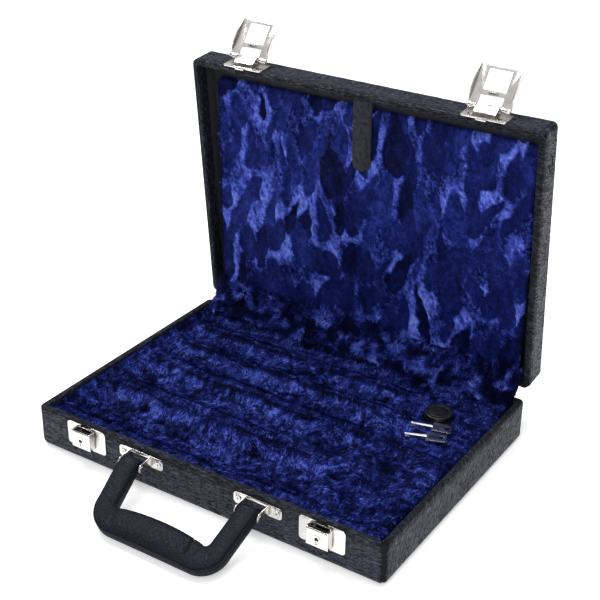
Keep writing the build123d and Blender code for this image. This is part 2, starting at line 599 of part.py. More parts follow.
def build():
    base = tray(BASE_H)
    lid = {name: Pos(0, 0, LID_Z + LID_H) * Rot(180, 0, 0) * s for name, s in tray(LID_H).items()}

    # Brackets, handle and their fasteners
    bracket_screws = []
    for side, name in ((-1, "left"), (1, "right")):
        x = side * HANDLE_X
        plate = bracket(x)
        for reach in (-BRACKET_SCREW_X, BRACKET_SCREW_X):
            screw = screw_y(x + reach, FRONT - PLATE_T, BRACKET_SCREW_Z, -1)
            bracket_screws.append(screw)
            plate -= screw
        save(f"handle_bracket_{name}", plate)
        save(f"handle_pin_{name}", handle_pin(x))
    save("bracket_screws", Compound(bracket_screws))
    core_solid = handle_core()
    bore = rod_x(-HANDLE_X - ARM_W, HANDLE_X + ARM_W, 0, 0, HANDLE_PIN_R + HANDLE_FIT)
    save("handle_core", in_handle(core_solid - bore))
    save("handle_cover", in_handle(handle_cover() - core_solid - bore))

    # Rear hinges
    base_screws = []
    lid_screws = []
    for side, name in ((-1, "left"), (1, "right")):
        x = side * HINGE_X
        base_leaf = hinge_leaf(x, (0, 2, 4), HINGE_PIN_R)
        lid_leaf = mirror_to_lid(hinge_leaf(x, (1, 3), HINGE_PIN_R + RUN_FIT))
        for reach, rise in HINGE_SCREWS:
            screw = screw_y(x + reach, REAR + LEAF_T, rise, 1)
            base_screws.append(screw)
            base_leaf -= screw
            lid_screw = mirror_to_lid(screw)
            lid_screws.append(lid_screw)
            lid_leaf -= lid_screw
        save(f"hinge_leaf_base_{name}", base_leaf)
        save(f"hinge_leaf_lid_{name}", swing_lid(lid_leaf))
        half = HINGE_LEN / 2
        save(f"hinge_pin_{name}", rod_x(x - half, x + half, HINGE_Y, HINGE_Z, HINGE_PIN_R))
    save("hinge_screws_base", Compound(base_screws))
    save("hinge_screws_lid", swing_lid(Compound(lid_screws)))

    # Base boards and covering, drilled for the screws
    for screw in bracket_screws + base_screws:
        for piece in ("minus_y_board", "plus_y_board", "band"):
            base[piece] -= screw
    for screw in lid_screws:
        for piece in ("minus_y_board", "band"):
            lid[piece] -= screw
    save("base_bottom_board", base["floor_board"])
    save("base_front_board", base["minus_y_board"])
    save("base_rear_board", base["plus_y_board"])
    save("base_left_board", base["left_board"])
    save("base_right_board", base["right_board"])
    save("base_side_cover", base["band"])
    save("base_bottom_cover", base["flat_cover"])

    # Lid boards and covering; the lid is the tray turned over, so its front is the tray's rear
    save("lid_top_board", swing_lid(lid["floor_board"]))
    save("lid_front_board", swing_lid(lid["plus_y_board"]))
    save("lid_rear_board", swing_lid(lid["minus_y_board"]))
    save("lid_left_board", swing_lid(lid["left_board"]))
    save("lid_right_board", swing_lid(lid["right_board"]))
    save("lid_side_cover", swing_lid(lid["band"]))
    save("lid_top_cover", swing_lid(lid["flat_cover"]))
    roof_z = LID_Z + LID_H - FLOOR_Z
    lining = slab(INNER_X, INNER_Y, LID_Z + TURN_IN_DEPTH, roof_z)
    lining -= slab(CAVITY_X, CAVITY_Y, LID_Z + TURN_IN_DEPTH, roof_z - LINING)
    save("lid_lining", swing_lid(lining))

    # Locks and hasps
    for side, name in ((-1, "left"), (1, "right")):
        x = side * LOCK_X
        save(f"lock_plate_{name}", lock_plate(x))
        save(f"lock_box_{name}", lock_box(x))
        save(f"lock_spring_{name}", lock_spring(x))
        save(f"lock_bolt_{name}", lock_bolt(x))
        save(f"hasp_plate_{name}", swing_lid(hasp_plate(x)))
        pin_x = (x - HASP_PIN_HALF, x + HASP_PIN_HALF)
        pin = rod_x(*pin_x, HASP_PIN_Y, HASP_PIN_Z, HASP_PIN_R)
        save(f"hasp_pin_{name}", swing_lid(pin))
        save(f"hasp_{name}", swing_lid(swing_hasp(hasp(x))))

    # Plush and what lies in it
    core, plush = bed()
    save("bed_core", core)
    save("bed_plush", plush)
    save("hinge_gusset", gusset())
    panel_board, panel_plush = lid_panel()
    save("panel_board", swing_lid(in_lid_panel(panel_board)))
    save("panel_plush", swing_lid(in_lid_panel(panel_plush)))
    save("panel_strap", swing_lid(in_lid_panel(pull_strap())))
    for name, x, y, turn in KEYS:
        save(name, key(x, y, turn))
    jar, pot_lid = grease_pot()
    save("pot_jar", jar)
    save("pot_lid", pot_lid)


build()
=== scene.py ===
# %% [markdown]
# # A recorder case, dressed
# A shallow tray lined with blue plush, an open lid with a plush panel, two locks with their hasps
# thrown back, and a padded handle. The CAD model gives the solids and the hinges. This lesson adds
# what CAD leaves out: pile, grain, seams, worn edges and light.

import bmesh
import bpy
import json
import math
import numpy as np
from mathutils import Matrix, Vector

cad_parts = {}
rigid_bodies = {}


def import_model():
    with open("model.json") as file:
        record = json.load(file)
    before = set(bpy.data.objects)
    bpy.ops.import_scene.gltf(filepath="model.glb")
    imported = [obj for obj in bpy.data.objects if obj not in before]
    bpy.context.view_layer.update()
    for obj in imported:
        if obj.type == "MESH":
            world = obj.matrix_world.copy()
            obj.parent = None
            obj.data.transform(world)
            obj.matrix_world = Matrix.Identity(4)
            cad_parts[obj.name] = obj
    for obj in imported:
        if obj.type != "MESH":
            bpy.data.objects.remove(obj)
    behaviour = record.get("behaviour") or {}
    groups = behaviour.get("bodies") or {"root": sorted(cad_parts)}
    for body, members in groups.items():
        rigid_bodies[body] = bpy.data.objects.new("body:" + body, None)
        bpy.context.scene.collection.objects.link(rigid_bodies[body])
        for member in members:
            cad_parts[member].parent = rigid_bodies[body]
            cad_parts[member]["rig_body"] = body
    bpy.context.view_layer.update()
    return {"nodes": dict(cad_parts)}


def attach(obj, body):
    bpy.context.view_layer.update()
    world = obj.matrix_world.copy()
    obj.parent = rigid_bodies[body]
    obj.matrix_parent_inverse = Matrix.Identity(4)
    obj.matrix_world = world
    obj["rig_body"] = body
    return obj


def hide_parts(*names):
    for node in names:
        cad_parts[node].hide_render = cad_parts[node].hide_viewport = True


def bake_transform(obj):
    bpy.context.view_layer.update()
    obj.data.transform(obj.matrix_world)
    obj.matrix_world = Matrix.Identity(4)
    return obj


MM = 0.001
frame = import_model()

# %% [markdown]
# ## Camera and light
# A product photograph on white: one long lens from the front right, looking down into the tray. Its
# view is written as yaw, pitch and roll, the three angles of a tripod head. Three large soft lamps
# and a bright surround give the nickel something to mirror and lift the black covering.

# %% Camera
LENS_MM, SENSOR_MM = 75.86, 36.0
CAMERA_AT = (0.51112, -0.76683, 0.61399)
YAW, PITCH, ROLL = (math.radians(a) for a in (32.88, -27.37, 0.69))


def new_object(name, data):
    made = bpy.data.objects.new(name, data)
    bpy.context.collection.objects.link(made)
    return made


camera = new_object("camera", bpy.data.cameras.new("camera"))
camera.data.lens = LENS_MM
camera.data.sensor_width = SENSOR_MM
turns = ((YAW, "Z"), (math.pi / 2 + PITCH, "X"), (ROLL, "Z"))
yawed, pitched, rolled = (Matrix.Rotation(angle, 4, axis) for angle, axis in turns)
camera.matrix_world = Matrix.Translation(CAMERA_AT) @ yawed @ pitched @ rolled
bpy.context.scene.camera = camera
bpy.context.scene.view_settings.view_transform = "Standard"
print("camera", LENS_MM, "mm")

# %% Lights
# Place and width in metres, power in watts: a wider lamp gives softer shadows.
LAMPS = {
    "key_lamp": ((-0.9, 0.15, 1.6), 0.6, 17),
    "side_lamp": ((0.35, -1.6, 1.1), 0.7, 9),
    "top_lamp": ((0.2, 0.3, 1.8), 0.9, 9),
}
MIDDLE = Vector((0, 0.02, 0.08))
for name, (place, width, power) in LAMPS.items():
    lamp = new_object(name, bpy.data.lights.new(name, "AREA"))
    lamp.data.size = width
    lamp.data.energy = power
    lamp.location = place
    lamp.rotation_euler = (MIDDLE - Vector(place)).to_track_quat("-Z", "Y").to_euler()
print("lamps", list(LAMPS))

# %% [markdown]
# ## Materials from nodes
# Every finish is made from noise and cell textures, measured in metres on the piece itself, so the
# grain keeps its size wherever it is used.


# %% Node helpers
FINISHES = {}


def feed(finish, node, inputs):
    """Give a node its inputs: numbers, colours or other nodes' outputs."""
    for key, value in dict(inputs).items():
        if isinstance(value, bpy.types.NodeSocket):
            finish.node_tree.links.new(value, node.inputs[key])
        else:
            node.inputs[key].default_value = value


def into_shader(finish, **sockets):
    """Give the shader its inputs; underscores stand for spaces."""
    named = {key.replace("_", " "): value for key, value in sockets.items()}
    feed(finish, finish.node_tree.nodes["Principled BSDF"], named)


def new_finish(name, **sockets):
    finish = bpy.data.materials.new(name)
    finish.use_nodes = True
    into_shader(finish, **sockets)
    return finish


def add_node(finish, kind, inputs=(), **settings):
    made = finish.node_tree.nodes.new("ShaderNode" + kind)
    for key, value in settings.items():
        setattr(made, key, value)
    feed(finish, made, inputs)
    return made


def add_ramp(finish, factor, *stops):
    """A colour ramp through (place, colour) stops, driven by one output."""
    made = add_node(finish, "ValToRGB", {"Fac": factor})
    elements = made.color_ramp.elements
    while len(elements) < len(stops):
        elements.new(0.5)
    for element, (place, colour) in zip(elements, stops):
        element.position = place
        element.color = (*colour, 1)
    return made.outputs["Color"]


def grey(value):
    return (value, value, value)


def grey_ramp(finish, factor, *stops):
    """A ramp of plain numbers, such as a roughness."""
    return add_ramp(finish, factor, *((place, grey(value)) for place, value in stops))


def mixed(finish, share, a, b):
    """A number between two outputs."""
    inputs = {"Factor": share, "A": a, "B": b}
    return add_node(finish, "Mix", inputs, data_type="FLOAT").outputs["Result"]


def own_place(finish, stretch=(1, 1, 1)):
    """The point on the piece in metres, stretched for a grain with a direction."""
    inputs = {"Vector": add_node(finish, "TexCoord").outputs["Object"], "Scale": stretch}
    return add_node(finish, "Mapping", inputs).outputs["Vector"]


def noise(finish, place, scale, detail=4.0, rough=0.55):
    inputs = {"Vector": place, "Scale": scale, "Detail": detail, "Roughness": rough}
    return add_node(finish, "TexNoise", inputs).outputs["Fac"]


def pebbles(finish, place, scale):
    return add_node(finish, "TexVoronoi", {"Vector": place, "Scale": scale}).outputs["Distance"]


def raised(finish, height, strength, depth, under=None):
    """A bump from a height output, its depth in metres, over another bump if one is given."""
    inputs = {"Height": height, "Strength": strength, "Distance": depth}
    if under:
        inputs["Normal"] = under
    return add_node(finish, "Bump", inputs).outputs["Normal"]


def stored(finish, name):
    """A number that the mesh carries at its points."""
    return add_node(finish, "Attribute", attribute_name=name).outputs["Fac"]


print("node helpers ready")

# %% Studio walls
# Brightness of the surround, from straight down at 0 to straight up at 1.
WALL_TONES = ((0.0, 0.5), (0.5, 0.28), (0.56, 0.1), (0.66, 0.16), (0.78, 0.75), (1.0, 0.95))
WALL_LIGHT = 0.8
world = bpy.data.worlds.new("studio")
world.use_nodes = True
direction = add_node(world, "TexCoord").outputs["Generated"]
upward = add_node(world, "SeparateXYZ", {"Vector": direction}).outputs["Z"]
span = {"Value": upward, "From Min": -1.0, "From Max": 1.0}
from_floor = add_node(world, "MapRange", span).outputs["Result"]
walls = {"Color": grey_ramp(world, from_floor, *WALL_TONES), "Strength": WALL_LIGHT}
feed(world, world.node_tree.nodes["Background"], walls)
bpy.context.scene.world = world
print("studio walls", len(WALL_TONES), "tones")

# %% [markdown]
# ### Covering, plush and metal
# The covering is embossed vinyl, a slightly blue black: its ridges are polished and its valleys
# dull, and its colour has painted shade in its valleys and creases and painted light on its ridges.
# Plush carries painted light and shade in numbers kept in the mesh: dark where its pile parts and at
# its roots, darker where it lies down and paler where it stands as painted sheen, and pale at its
# tips. Nickel is never one mirror: a faint cloud of fingerprints and polishing lines breaks it up,
# and its corners get painted shade.


# %% Black leatherette
def leatherette(name, dark, pale, wrinkle, pebble, vein, depths, shine):
    """Embossed vinyl. Wrinkle and pebble are sizes in mm along and across the unrolled sheet, vein
    is the share of thin lines, and the depths in metres are of the pebbles and of the folds."""
    finish = new_finish(name, Roughness=0.45, Specular_IOR_Level=shine)
    on_sheet = {"X": stored(finish, "grain_x"), "Y": stored(finish, "grain_y")}
    unrolled = add_node(finish, "CombineXYZ", on_sheet).outputs["Vector"]

    def at_size(size):
        scale = (1 / size[0], 1 / size[1], 1)
        return add_node(finish, "Mapping", {"Vector": unrolled, "Scale": scale}).outputs["Vector"]

    lines = noise(finish, at_size(wrinkle), 1.0, 2.2, 0.5)
    veins = grey_ramp(finish, lines, (0.42, 1), (0.5, 0), (0.58, 1))
    grain = stored(finish, "grain")
    veined = mixed(finish, vein, mixed(finish, 0.6, grain, lines), veins)
    # Darker where the relief is low: the seam is a real dark joint, the creases and valleys are painted
    # shade.
    seam_and_crease_shade = grey_ramp(finish, grain, (0.0, 0.3), (0.25, 1))
    tone = add_node(finish, "Math", {0: veined, 1: seam_and_crease_shade}, operation="MULTIPLY").outputs[0]
    # Painted light and shade: the colour runs from dark in the valleys to pale on the ridges.
    colour = add_ramp(finish, tone, (0.34, dark), (0.5, [c * 0.5 for c in pale]), (0.72, pale))
    dull = grey_ramp(finish, tone, (0.34, 0.75), (0.68, 0.34))
    fine = raised(finish, pebbles(finish, at_size(pebble), 1.0), 0.8, depths[0])
    folds = raised(finish, tone, 1.0, depths[1], fine)
    into_shader(finish, Base_Color=colour, Roughness=dull, Normal=folds)
    return finish


FINISHES["leatherette"] = leatherette(
    "black_leatherette", dark=(0.0010, 0.0014, 0.0032), pale=(0.036, 0.042, 0.066),
    wrinkle=(7.0, 1.8), pebble=(1.0, 0.9), vein=0.35, depths=(0.0002, 0.0014), shine=0.22,
)
FINISHES["handle_leather"] = leatherette(
    "handle_leather", dark=(0.0016, 0.0024, 0.0056), pale=(0.0044, 0.0076, 0.021),
    wrinkle=(1.0, 1.0), pebble=(1.3, 1.3), vein=0.0, depths=(0.0005, 0.0002), shine=0.17,
)
print("coverings", list(FINISHES))

# %% Blue plush
# From painted shade in the partings of the pile at 0 to its brightest tips, painted light, at 1.
PLUSH_RAMP = (
    (0.0, (0.0001, 0.0003, 0.002)),
    (0.22, (0.0009, 0.0024, 0.028)),
    (0.4, (0.0075, 0.015, 0.13)),
    (0.6, (0.042, 0.070, 0.44)),
    (0.8, (0.16, 0.23, 0.92)),
    (1.0, (0.42, 0.54, 1.0)),
)
plush = new_finish(
    "blue_plush", Roughness=0.62, Specular_IOR_Level=0.06, Sheen_Weight=0.03, Sheen_Roughness=0.4,
    Sheen_Tint=(0.2, 0.28, 1, 1),
)
speckle = noise(plush, own_place(plush), 900, 3.0)
shade = mixed(plush, 0.22, stored(plush, "pile"), speckle)
fluff = raised(plush, speckle, 0.5, 0.0006)
into_shader(plush, Base_Color=add_ramp(plush, shade, *PLUSH_RAMP), Normal=fluff)
FINISHES["plush"] = plush
print("plush stops", len(PLUSH_RAMP))


# %% Metals
def plated(name, colour, dull, bright, brushed, shade_and_tarnish=(0.5, 0.47, 0.44)):
    """Plate or bare steel: clouded roughness, fine polishing lines, and painted shade with tarnish in the
    corners.
    """
    finish = new_finish(name, Metallic=1.0, Roughness=0.2)
    cloud = noise(finish, own_place(finish), 140)
    lines = noise(finish, own_place(finish, brushed), 900, 2.0)
    tint = add_ramp(finish, cloud, (0.3, [c * 0.84 for c in colour]), (0.7, colour))
    # Painted shade: the colour falls to near black in corners and hollows that ambient occlusion finds
    # enclosed.
    open_sky = add_node(finish, "AmbientOcclusion", {"Distance": 0.0035}, samples=8).outputs["AO"]
    black = [c * 0.08 for c in shade_and_tarnish]
    corner = add_ramp(finish, open_sky, (0.2, black), (0.5, shade_and_tarnish), (0.8, grey(1)))
    both = {"Factor": 1.0, "A": tint, "B": corner}
    shaded_tint = add_node(finish, "Mix", both, data_type="RGBA", blend_type="MULTIPLY")
    into_shader(
        finish,
        Base_Color=shaded_tint.outputs["Result"],
        Roughness=grey_ramp(finish, cloud, (0.3, bright), (0.75, dull)),
        Normal=raised(finish, lines, 0.06, 0.0001),
    )
    return finish


FINISHES["nickel"] = plated("bright_nickel", (0.79, 0.77, 0.74), 0.26, 0.13, (1, 1, 0.05))
FINISHES["steel"] = plated("plain_steel", (0.07, 0.07, 0.073), 0.5, 0.35, (0.05, 1, 1))
FINISHES["key_steel"] = plated(
    "key_steel", (0.55, 0.55, 0.58), 0.34, 0.22, (0.1, 1, 1), (0.8, 0.8, 0.82)
)
print("finishes with metal", len(FINISHES))


# %% Strap, lining, boards and pot
def mottled(
    name, dark, pale, scale, relief, detail=4.0, stretch=(1, 1, 1), ends=(0.3, 0.7), gloss=(),
    fine=None, **sockets,
):
    """Two tones from one noise, which is the relief too unless fine gives another pattern."""
    finish = new_finish(name, **sockets)
    place = own_place(finish, stretch)
    cloud = noise(finish, place, scale, detail)
    height = fine(finish, place) if fine else cloud
    tint = add_ramp(finish, cloud, *zip(ends, (dark, pale)))
    into_shader(finish, Base_Color=tint, Normal=raised(finish, height, *relief))
    if gloss:
        into_shader(finish, Roughness=grey_ramp(finish, cloud, *zip((0.3, 0.7), gloss)))
    return finish


FINISHES["strap_leather"] = mottled(
    "strap_leather", (0.002, 0.0026, 0.005), (0.018, 0.021, 0.032), 220, (0.7, 0.0003),
    ends=(0.36, 0.64), gloss=(0.62, 0.42), fine=lambda finish, place: pebbles(finish, place, 900),
    Roughness=0.5, Specular_IOR_Level=0.25,
)
FINISHES["lining"] = mottled(
    "black_lining", grey(0.006), (0.018, 0.018, 0.024), 1600, (0.4, 0.0002), 2.0,
    Roughness=0.8, Sheen_Weight=0.1,
)
FINISHES["board"] = mottled(
    "raw_board", (0.3, 0.2, 0.11), (0.62, 0.46, 0.3), 160, (0.4, 0.0004), 6.0, (0.15, 1, 1),
    Roughness=0.85,
)
FINISHES["core"] = mottled(
    "moulded_fibre", (0.3, 0.27, 0.22), (0.55, 0.5, 0.42), 320, (0.4, 0.0004), 6.0, Roughness=0.85
)
FINISHES["pot_plastic"] = mottled(
    "black_plastic", grey(0.004), (0.014, 0.014, 0.017), 300, (0.12, 0.0001), gloss=(0.24, 0.42),
    fine=lambda finish, place: noise(finish, place, 2400, 2.0), Roughness=0.3, Specular_IOR_Level=0.5,
)
print("finishes", sorted(FINISHES))

# %% [markdown]
# ## Noise and meshes in numbers
# Pile and embossed vinyl come from the same idea: many points on a grid, each moved a little by
# smooth random numbers. Numpy does this for a whole surface at once, and a fixed seed gives the same
# surface on every run. Sizes are in millimetres until the mesh is made.


# %% Smooth random numbers
def ease(t):
    """0 before 0, 1 after 1, and a smooth turn between them."""
    t = np.clip(t, 0, 1)
    return t * t * (3 - 2 * t)


def between(v, start, end, soft, soft_end=None):
    """1 between two places and 0 outside, with edges of these widths inside them."""
    return ease((v - start) / soft) * ease((end - v) / (soft_end or soft))


def bell(distance, width):
    """1 at distance 0, falling off over the width."""
    return np.exp(-((distance / width) ** 2))


def smooth_noise(a, b, seed, step_a, step_b=None):
    """Smooth random values from -1 to 1, one new value per step along a and b."""
    values = np.random.default_rng(seed).uniform(-1, 1, (211, 199))
    u, v = a / step_a, b / (step_b or step_a)
    i, j = np.floor(u).astype(int), np.floor(v).astype(int)
    f, g = ease(u - i), ease(v - j)

    def row(j):
        return values[i % 211, j % 199] * (1 - f) + values[(i + 1) % 211, j % 199] * f

    return row(j) * (1 - g) + row(j + 1) * g


def layered_noise(a, b, seed, step_a, step_b=None, layers=3):
    """Smooth noise with finer and fainter layers added."""
    total = 0
    for k in range(layers):
        fine = 0.5**k
        total = total + fine * smooth_noise(a / fine, b / fine, seed + k, step_a, step_b)
    return total / 1.5


def nearby_points(a, b, width, height, table):
    """The scattered points round each place: how far across and along in cells, and its numbers."""
    row = np.floor(b / height).astype(int)
    for j in (row - 1, row, row + 1):
        shift = 0.5 * (j % 2)
        column = np.floor(a / width - shift).astype(int)
        for i in (column - 1, column, column + 1):
            chance = table[i % table.shape[0], j % table.shape[1]]
            across = a / width - shift - i - 0.2 - 0.6 * chance[..., 0]
            along = b / height - j - 0.2 - 0.6 * chance[..., 1]
            yield across, along, chance


def scattered_cells(a, b, seed, width, height):
    """Cells round scattered points: how far from the cell's border, and a number for each cell."""
    table = np.random.default_rng(seed).uniform(0, 1, (131, 127, 3))
    first = np.full(a.shape, 1e9)
    second, tone = first, 0 * first
    for across, along, chance in nearby_points(a, b, width, height, table):
        far = across**2 + along**2
        nearer = far < first
        second = np.where(nearer, first, np.minimum(second, far))
        tone = np.where(nearer, chance[..., 2], tone)
        first = np.where(nearer, far, first)
    return np.sqrt(second) - np.sqrt(first), tone


print("a quarter eases to", ease(0.25))

# %% Meshes from numbers
HINGE, LID_TURN = (127.2, 38.15), math.radians(-84.5)


def xyz(x, y, z):
    return np.stack(np.broadcast_arrays(x, y, z), -1)


def unit(v):
    """Directions of length 1."""
    return v / np.maximum(np.linalg.norm(v, axis=-1, keepdims=True), 1e-9)


def grid_faces(rows, columns, closed=False):
    """Four-cornered faces over a grid of points; closed joins the last column to the first."""
    r = np.arange(rows - 1)[:, None]
    c = np.arange(columns if closed else columns - 1)[None, :]
    n = (c + 1) % columns
    corners = (r * columns + c, r * columns + n, (r + 1) * columns + n, (r + 1) * columns + c)
    return np.stack(np.broadcast_arrays(*corners), -1).reshape(-1, 4)


def tube_faces(rows, columns):
    """Faces round a tube, with a cap at each end."""
    caps = [range(columns - 1, -1, -1), range((rows - 1) * columns, rows * columns)]
    return [*grid_faces(rows, columns, closed=True), *caps]


def surface_normals(points):
    """Outward directions of a grid of points, from its own rows and columns."""
    return unit(np.cross(np.gradient(points, axis=1), np.gradient(points, axis=0)))


def grain_numbers(grain, x, y):
    """What the leatherette finish reads: relief, and place on the unrolled sheet in mm."""
    return {"grain": np.clip(grain, 0, 1), "grain_x": x, "grain_y": y}


def make_piece(name, points, faces, slot, numbers, smooth=True):
    """A mesh object from points in mm, with its slot's finish and the numbers its points carry."""
    mesh = bpy.data.meshes.new(name)
    corners = np.reshape(points, (-1, 3)) * MM
    mesh.from_pydata(corners.tolist(), [], [list(map(int, f)) for f in faces])
    mesh.update()
    mesh.shade_smooth() if smooth else mesh.shade_flat()
    for key, values in numbers.items():
        carried = mesh.attributes.new(key, "FLOAT", "POINT").data
        carried.foreach_set("value", np.asarray(values, np.float32).ravel())
    mesh.materials.append(FINISHES[slot])
    made = new_object(name, mesh)
    return made


def turned(points, angle, about, to):
    """A turn about a line along X at one (y, z), which is set down at another."""
    y, z = points[..., 1] - about[0], points[..., 2] - about[1]
    turned_y = to[0] + y * math.cos(angle) - z * math.sin(angle)
    turned_z = to[1] + y * math.sin(angle) + z * math.cos(angle)
    return xyz(points[..., 0], turned_y, turned_z)


def swing_open(points):
    """From the closed lid to the open one."""
    return turned(points, LID_TURN, HINGE, HINGE)


print("hinge line at y, z", HINGE)

# %% [markdown]
# ## Covering of the walls
# On the real case one strip of leatherette goes round each half, turned over the rim and down inside
# it, and butted at a corner. The strip is drawn as rings: the wall's cross-section is walked from the
# floor up over the rim, each step a rounded rectangle, and the grain pushes every point out.

# %% The strip's cross-section
HALF_X, HALF_Y = 170.0, 121.0
BASE_HIGH, LID_HIGH, CASE_HIGH = 38.0, 28.0, 66.3
CORNER, RIM_ROUND, WALL_IN, TURN_IN = 5.0, 2.2, 6.2, 12.0
INNER_CORNER, ROW_STEP, STATION_STEP = 0.8, 0.7, 1.2
# Over the rim: how far in from the outside, and how far below the top.
RIM = ((3.0, 0.0), (3.8, 0.0), (4.6, 0.05), (5.3, 0.35), (5.9, 0.95), (WALL_IN, 1.8))
CORNER_ANGLES = (0, 15, 30, 40, 45, 50, 60, 75)
SEAM_ANGLE = 45


def quarter_turn(radius, degrees):
    """(inset, rise) along a rounded edge, from the flat at 0 to the wall at 90 degrees."""
    return [(radius * (1 - math.sin(a)), radius * (1 - math.cos(a))) for a in np.radians(degrees)]


def wall_steps(height):
    """(inset, height) from the floor's edge up the outside, over the rim and down inside."""
    floor_turn = quarter_turn(CORNER, range(0, 90, 11))
    rows = int((height - CORNER - RIM_ROUND) / ROW_STEP)
    wall = [(0.0, z) for z in np.linspace(CORNER, height - RIM_ROUND, rows)]
    over = quarter_turn(RIM_ROUND, range(75, -1, -15))
    rim = [(inset, height - drop) for inset, drop in (*over, *RIM)]
    inside = [(WALL_IN, z) for z in np.linspace(height - 2.8, height - TURN_IN, 8)]
    return floor_turn + wall + rim + inside


# Points round the case as (side, share of the straight, corner angle), front side first.
stations = []
for side, half in enumerate((HALF_X, HALF_Y, HALF_X, HALF_Y)):
    count = int(2 * (half - CORNER) / STATION_STEP)
    stations += [(side, k / count, 0.0) for k in range(count)]
    stations += [(side, 1.0, math.radians(a)) for a in CORNER_ANGLES]
stations = np.array(stations)
print("rings", len(wall_steps(BASE_HIGH)), "points in a ring", len(stations))


# %% Rings of the strip
PLAIN_COLUMN = 40  # a station far from any corner


def strip_points(height):
    """A grid of points: one row per step of the section, one column per station."""
    side, share, angle = stations.T
    turn = side * math.pi / 2
    rows = []
    for inset, z in wall_steps(height):
        radius = max(CORNER - inset, INNER_CORNER)
        reach_x, reach_y = HALF_X - inset - radius, HALF_Y - inset - radius
        along = np.where(side % 2 == 0, reach_x, reach_y) * (2 * share - 1)
        away = np.where(side % 2 == 0, reach_y, reach_x)
        local_x = along + radius * np.sin(angle)
        local_y = -away - radius * np.cos(angle)
        x = local_x * np.cos(turn) - local_y * np.sin(turn)
        y = local_x * np.sin(turn) + local_y * np.cos(turn)
        rows.append(xyz(x, y, z))
    return np.array(rows)


def arc_length(line):
    """Distance walked from the start of a line of points."""
    return np.cumsum(np.linalg.norm(np.diff(line, axis=0, prepend=line[:1]), axis=-1))


def embossed(s, t, seed, angle, long, short):
    """Wandering ridges: noise drawn out along one direction, with a few deeper creases."""
    a = s * math.cos(angle) + t * math.sin(angle)
    b = t * math.cos(angle) - s * math.sin(angle)
    bent = b + 1.6 * smooth_noise(s, t, seed + 7, 17, 9)
    ridges = layered_noise(a, bent, seed, long, short)
    crease = bell(smooth_noise(a, bent, seed + 3, long * 2.6, short * 4.2), 0.05)
    crease = crease * ease(smooth_noise(a, bent, seed + 5, 60, 30) * 2.2)
    return ridges, crease, np.stack([a, bent])


print("strip of the base", strip_points(BASE_HIGH).shape)


# %% Covering of the base and of the lid
def wall_strip(name, height, seed, place):
    """One half's covering with grain, creases and a butt seam at the front right corner."""
    grid = strip_points(height)
    s, t = np.meshgrid(arc_length(grid[0]), arc_length(grid[:, PLAIN_COLUMN]))
    on_right_wall = np.broadcast_to(stations[:, 0] == 1, s.shape)
    plain, inclined = embossed(s, t, seed, 0.03, 6.5, 1.9), embossed(s, t, seed + 20, 1.22, 8.0, 1.8)
    ridges, creases, unrolled = (np.where(on_right_wall, b, a) for a, b in zip(plain, inclined))
    on_rim = ease((t - (height - 4.5)) / 2.5)
    ridges, creases = ridges * (1 - 0.75 * on_rim), creases * (1 - on_rim)
    first_corner = stations[:, 0].searchsorted(1) - len(CORNER_ANGLES)
    from_seam = np.abs(s - s[0, first_corner + CORNER_ANGLES.index(SEAM_ANGLE)])
    seam = bell(from_seam, 0.3)
    lift = 0.15 * ridges - 0.35 * creases - 0.8 * seam + 0.2 * bell(from_seam - 1.2, 0.8)
    lift = lift - 0.1 * ease(1 - t / 3)
    points = place(grid + surface_normals(grid) * lift[..., None])
    # Relief for the colour: the seam is a real dark joint, creases are painted shade, ridges painted light,
    # and the rim is darker.
    grain = 0.5 + 0.4 * ridges - 0.45 * creases - 1.4 * seam - 0.3 * on_rim
    faces = grid_faces(*s.shape, closed=True)
    return make_piece(name, points, faces, "leatherette", grain_numbers(grain, *unrolled))


def as_built(points):
    return points


def on_lid(points):
    """From a half standing on its outer face to the open lid."""
    return swing_open(points * (1, -1, -1) + (0, 0, CASE_HIGH))


for body, height, seed, place in (("base", BASE_HIGH, 11, as_built), ("lid", LID_HIGH, 61, on_lid)):
    walls = wall_strip(f"{body}_wall_covering", height, seed, place)
    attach(walls, body)
    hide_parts(f"{body}_side_cover")
    print(body, "covering faces", len(walls.data.polygons))


# %% Flat sheets under the base and on the lid
TUCKED = 0.95  # how far behind the face the sheet's edge ends


def flat_sheet(name, seed, place, spacing):
    """The large flat face, its edge turned in behind it."""
    half_x, half_y = HALF_X - CORNER, HALF_Y - CORNER
    x = np.linspace(-half_x, half_x, int(2 * half_x / spacing))
    y = np.linspace(-half_y, half_y, int(2 * half_y / spacing))
    x, y = np.meshgrid(np.r_[x[0], x, x[-1]], np.r_[y[0], y, y[-1]])
    ridges, creases, unrolled = embossed(x + 400, y + 400, seed, 0.5, 7.0, 2.2)
    edge = np.minimum(half_x - np.abs(x), half_y - np.abs(y))
    z = -ease(edge / 2) * (0.12 * ridges + 0.1 - 0.3 * creases) + 0.12
    z[[0, -1]] = TUCKED
    z[:, [0, -1]] = TUCKED
    faces = grid_faces(*x.shape)[:, ::-1]
    # Relief for the colour: creases painted darker as shade, ridges paler as painted light.
    numbers = grain_numbers(0.5 + 0.35 * ridges - 0.25 * creases, *unrolled)
    return make_piece(name, place(xyz(x, y, z)), faces, "leatherette", numbers)


FLATS = (("base", "bottom", 31, as_built, 2.4), ("lid", "top", 91, on_lid, 1.5))
for body, side, seed, place, spacing in FLATS:
    flat = flat_sheet(f"{body}_{side}_covering", seed, place, spacing)
    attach(flat, body)
    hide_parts(f"{body}_{side}_cover")
    print(body, side, "faces", len(flat.data.polygons))

# %% [markdown]
# ## Pile
# A bump map can't give long pile: its tufts part, show black between them, and break the edge
# against the rim. So blades grow from the cloth, each one five points and two faces, painted dark at
# its root as shade and pale at its end as light. Neighbours lean the same way, which makes tufts.


# %% Growing pile
MAP_MARGIN = 6.0  # room in mm round a piece in the flat map of its pile


